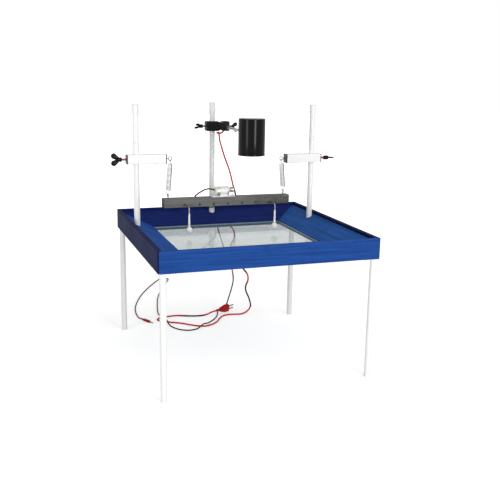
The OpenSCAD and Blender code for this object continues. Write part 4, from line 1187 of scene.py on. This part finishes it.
# Boss head with its two wing screws
bossSizes = {"edge": 0.0026, "postGap": 0.0001, "grooveRadius": 0.0110, "grooveDepth": 0.0035,
             "grooveShift": 0.001, "screwGap": 0.0003, "thread": 0.0025, "length": 0.023, "span": 0.029,
             "wall": 0.004, "tip": 0.006, "postNeck": 0.009, "rodNeck": 0.005, "postRoll": 55, "rodRoll": -12}


def makeBoss():
    s = bossSizes
    low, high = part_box("boss_head")
    post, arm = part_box("back_post"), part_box("lamp_arm")
    postY, postRadius = (post[0].y + post[1].y) / 2, (post[1].x - post[0].x) / 2
    armX, armZ, armRadius = (arm[0].x + arm[1].x) / 2, (arm[0].z + arm[1].z) / 2, (arm[1].x - arm[0].x) / 2
    bm = bmesh.new()
    addBox(bm, low, high, bevel=s["edge"], segments=4)
    knives = bmesh.new()
    addRod(knives, postRadius + s["postGap"], low.z, high.z, 64, at(0, postY, 0))
    addRod(knives, armRadius + s["postGap"], low.y, high.y, 48, at(armX, 0, armZ) @ along("y"))
    grooves = bmesh.new()  # a waist in the casting between post and arm, above and below
    outside = s["grooveRadius"] - s["grooveDepth"]
    grooveX = (postRadius + armX - armRadius) / 2 + s["grooveShift"]
    for z in (low.z - outside, high.z + outside):
        addRod(grooves, s["grooveRadius"], low.y, high.y, 40, at(grooveX, 0, z) @ along("y"))
    cover("boss_head", cut(meshOf("bossHead", bm), knives, grooves), bossEnamel, "boss", 30)
    face, tip = postRadius + s["screwGap"], armX + armRadius + s["screwGap"]
    makeWingScrew("boss_post_screw", (-face, postY, (low.z + high.z) / 2), -1, s["postRoll"],
                  -low.x - postRadius - s["screwGap"] + s["postNeck"], s)
    makeWingScrew("boss_rod_screw", (tip, postY, armZ), 1, s["rodRoll"], high.x - tip + s["rodNeck"], s)


makeBoss()


# Lamp: a spun shade with air holes, a holder with ribs and a small bulb
lampSizes = {"wall": 0.0014, "bead": 0.0005, "beadHeight": 0.0035, "shoulder": 0.0028, "shoulderSteps": 6,
             "ventCircle": 0.7, "ventRadius": 0.003, "vents": 8, "segments": 128, "holder": 0.012,
             "holderRibs": 5, "ribPitch": 0.003, "ribDepth": 0.0006, "bulb": 0.013, "bulbSteps": 24,
             "bulbNeck": 0.0072, "neck": 0.008, "cap": 0.0076, "thread": 0.009, "pitch": 0.002,
             "filament": 0.004, "filamentWire": 0.0003}


def makeShade(x, y):
    s = lampSizes
    low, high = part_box("lamp_housing")
    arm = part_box("lamp_arm")
    radius = (high.x - low.x) / 2
    side, wall, shoulder, beadTop = radius - s["bead"], s["wall"], s["shoulder"], low.z + s["beadHeight"]
    inner, inset = side - wall, shoulder - wall
    turn = [math.pi / 2 * k / s["shoulderSteps"] for k in range(s["shoulderSteps"] + 1)]
    outside = [(0, high.z)]
    outside += [(side - shoulder * (1 - math.sin(a)), high.z - shoulder * (1 - math.cos(a))) for a in turn]
    foot = [(side, beadTop + 0.0008), (radius, beadTop), (radius, low.z + 0.0005), (radius - 0.0005, low.z),
            (inner + 0.0002, low.z), (inner, low.z + 0.0006)]
    inside = [(inner - inset * (1 - math.cos(a)), high.z - shoulder + inset * math.sin(a)) for a in turn]
    bm = bmesh.new()
    addLathe(bm, outside + foot + inside + [(0, high.z - wall)], s["segments"], place=at(x, y, 0))
    knives = bmesh.new()
    for k in range(s["vents"]):
        vent = onCircle(radius * s["ventCircle"], math.tau * k / s["vents"])
        addRod(knives, s["ventRadius"], high.z, high.z, 24, at(x + vent.x, y + vent.y, 0), 0.006)
    armRadius, armZ = (arm[1].x - arm[0].x) / 2, (arm[0].z + arm[1].z) / 2
    addLathe(knives, [(armRadius + 0.0001, y + 0.02), (armRadius + 0.0001, high.y + 0.01)], 32,
             place=at(x, 0, armZ) @ along("y"))
    cover("lamp_housing", cut(meshOf("lampHousing", bm), knives), lampEnamel, "lamp", 40)


def makeHolder(x, y):
    s = lampSizes
    low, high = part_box("lamp_holder")
    radius, groove, neck = s["holder"], s["holder"] - s["ribDepth"], s["neck"] + 0.0002
    profile = [(0, low.z + 0.0104), (neck, low.z + 0.0104), (neck, low.z), (groove, low.z),
               (radius, low.z + s["ribDepth"])]
    for k in range(s["holderRibs"]):
        z = low.z + 0.004 + k * s["ribPitch"]
        profile += [(radius, z), (groove, z + 0.0006), (groove, z + 0.0014), (radius, z + 0.002)]
    bm = bmesh.new()
    addLathe(bm, profile + [(radius, high.z), (0, high.z)], 48, place=at(x, y, 0))
    cover("lamp_holder", meshOf("lampHolder", bm), darkPlastic, "lamp")


def makeBulb(x, y):
    s = lampSizes
    foot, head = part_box("lamp_bulb")
    rim, radius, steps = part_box("lamp_holder")[0].z, s["bulb"], s["bulbSteps"]
    middle = foot.z + radius
    meet = math.pi - math.asin(s["bulbNeck"] / radius)
    pear = [(radius * math.sin(a), middle - radius * math.cos(a))
            for a in (meet * k / steps for k in range(steps + 1))]
    bm = bmesh.new()
    addLathe(bm, pear + [(s["bulbNeck"] - 0.0004, rim - 0.001), (0, rim - 0.001)], 48, place=at(x, y, 0))
    cover("lamp_bulb", meshOf("lampBulb", bm), bulbGlass, "lamp", 60)
    core = s["neck"] - 0.0004
    bm = bmesh.new()
    addLathe(bm, [(0, rim - 0.003), (s["cap"], rim - 0.003), (core, rim - 0.002), (core, head.z),
                  (0, head.z)], 40, place=at(x, y, 0))
    wound = threads.grow([(x, y, rim - 0.001)], [], zincSteel, Radius=core, Length=s["thread"],
                         Pitch=s["pitch"], Rotation=(0, 0, 0))
    half = s["filament"]
    filament = [Vector((x + half * math.cos(a), y, middle + 0.001 + half / 2 * math.sin(a * 3)))
                for a in (math.pi * k / 24 for k in range(25))]
    posts = [Vector((x + sign * reach, y, z))
             for sign in (-1, 1) for reach, z in ((half, middle), (half / 2, rim))]
    edges = chain(filament) + chain(posts[:2], start=25) + [(27, 28)]
    thin = wires.grow(filament + posts, edges, zincSteel, Radius=s["filamentWire"], Sides=6)
    put("bulbCap", joined(meshOf("bulbCap", bm), wound, thin), zincSteel, "lamp")


lampLow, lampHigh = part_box("lamp_housing")
lampMiddle = ((lampLow.x + lampHigh.x) / 2, (lampLow.y + lampHigh.y) / 2)
makeShade(*lampMiddle)
makeHolder(*lampMiddle)
makeBulb(*lampMiddle)

grommetSizes = {"radius": 0.0029, "thickness": 0.0008, "rise": 0.0004}
armLow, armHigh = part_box("lamp_arm")
grommetPlace = ((armLow.x + armHigh.x) / 2, lampLeadRoute[0][1], armLow.z + grommetSizes["rise"])
grommet = ribs.grow([grommetPlace], [], blackPlastic, Radius=grommetSizes["radius"],
                    Thickness=grommetSizes["thickness"], Rotation=(0, 0, 0))
put("leadGrommet", grommet, blackPlastic, "boss")
print("boss head and lamp made")
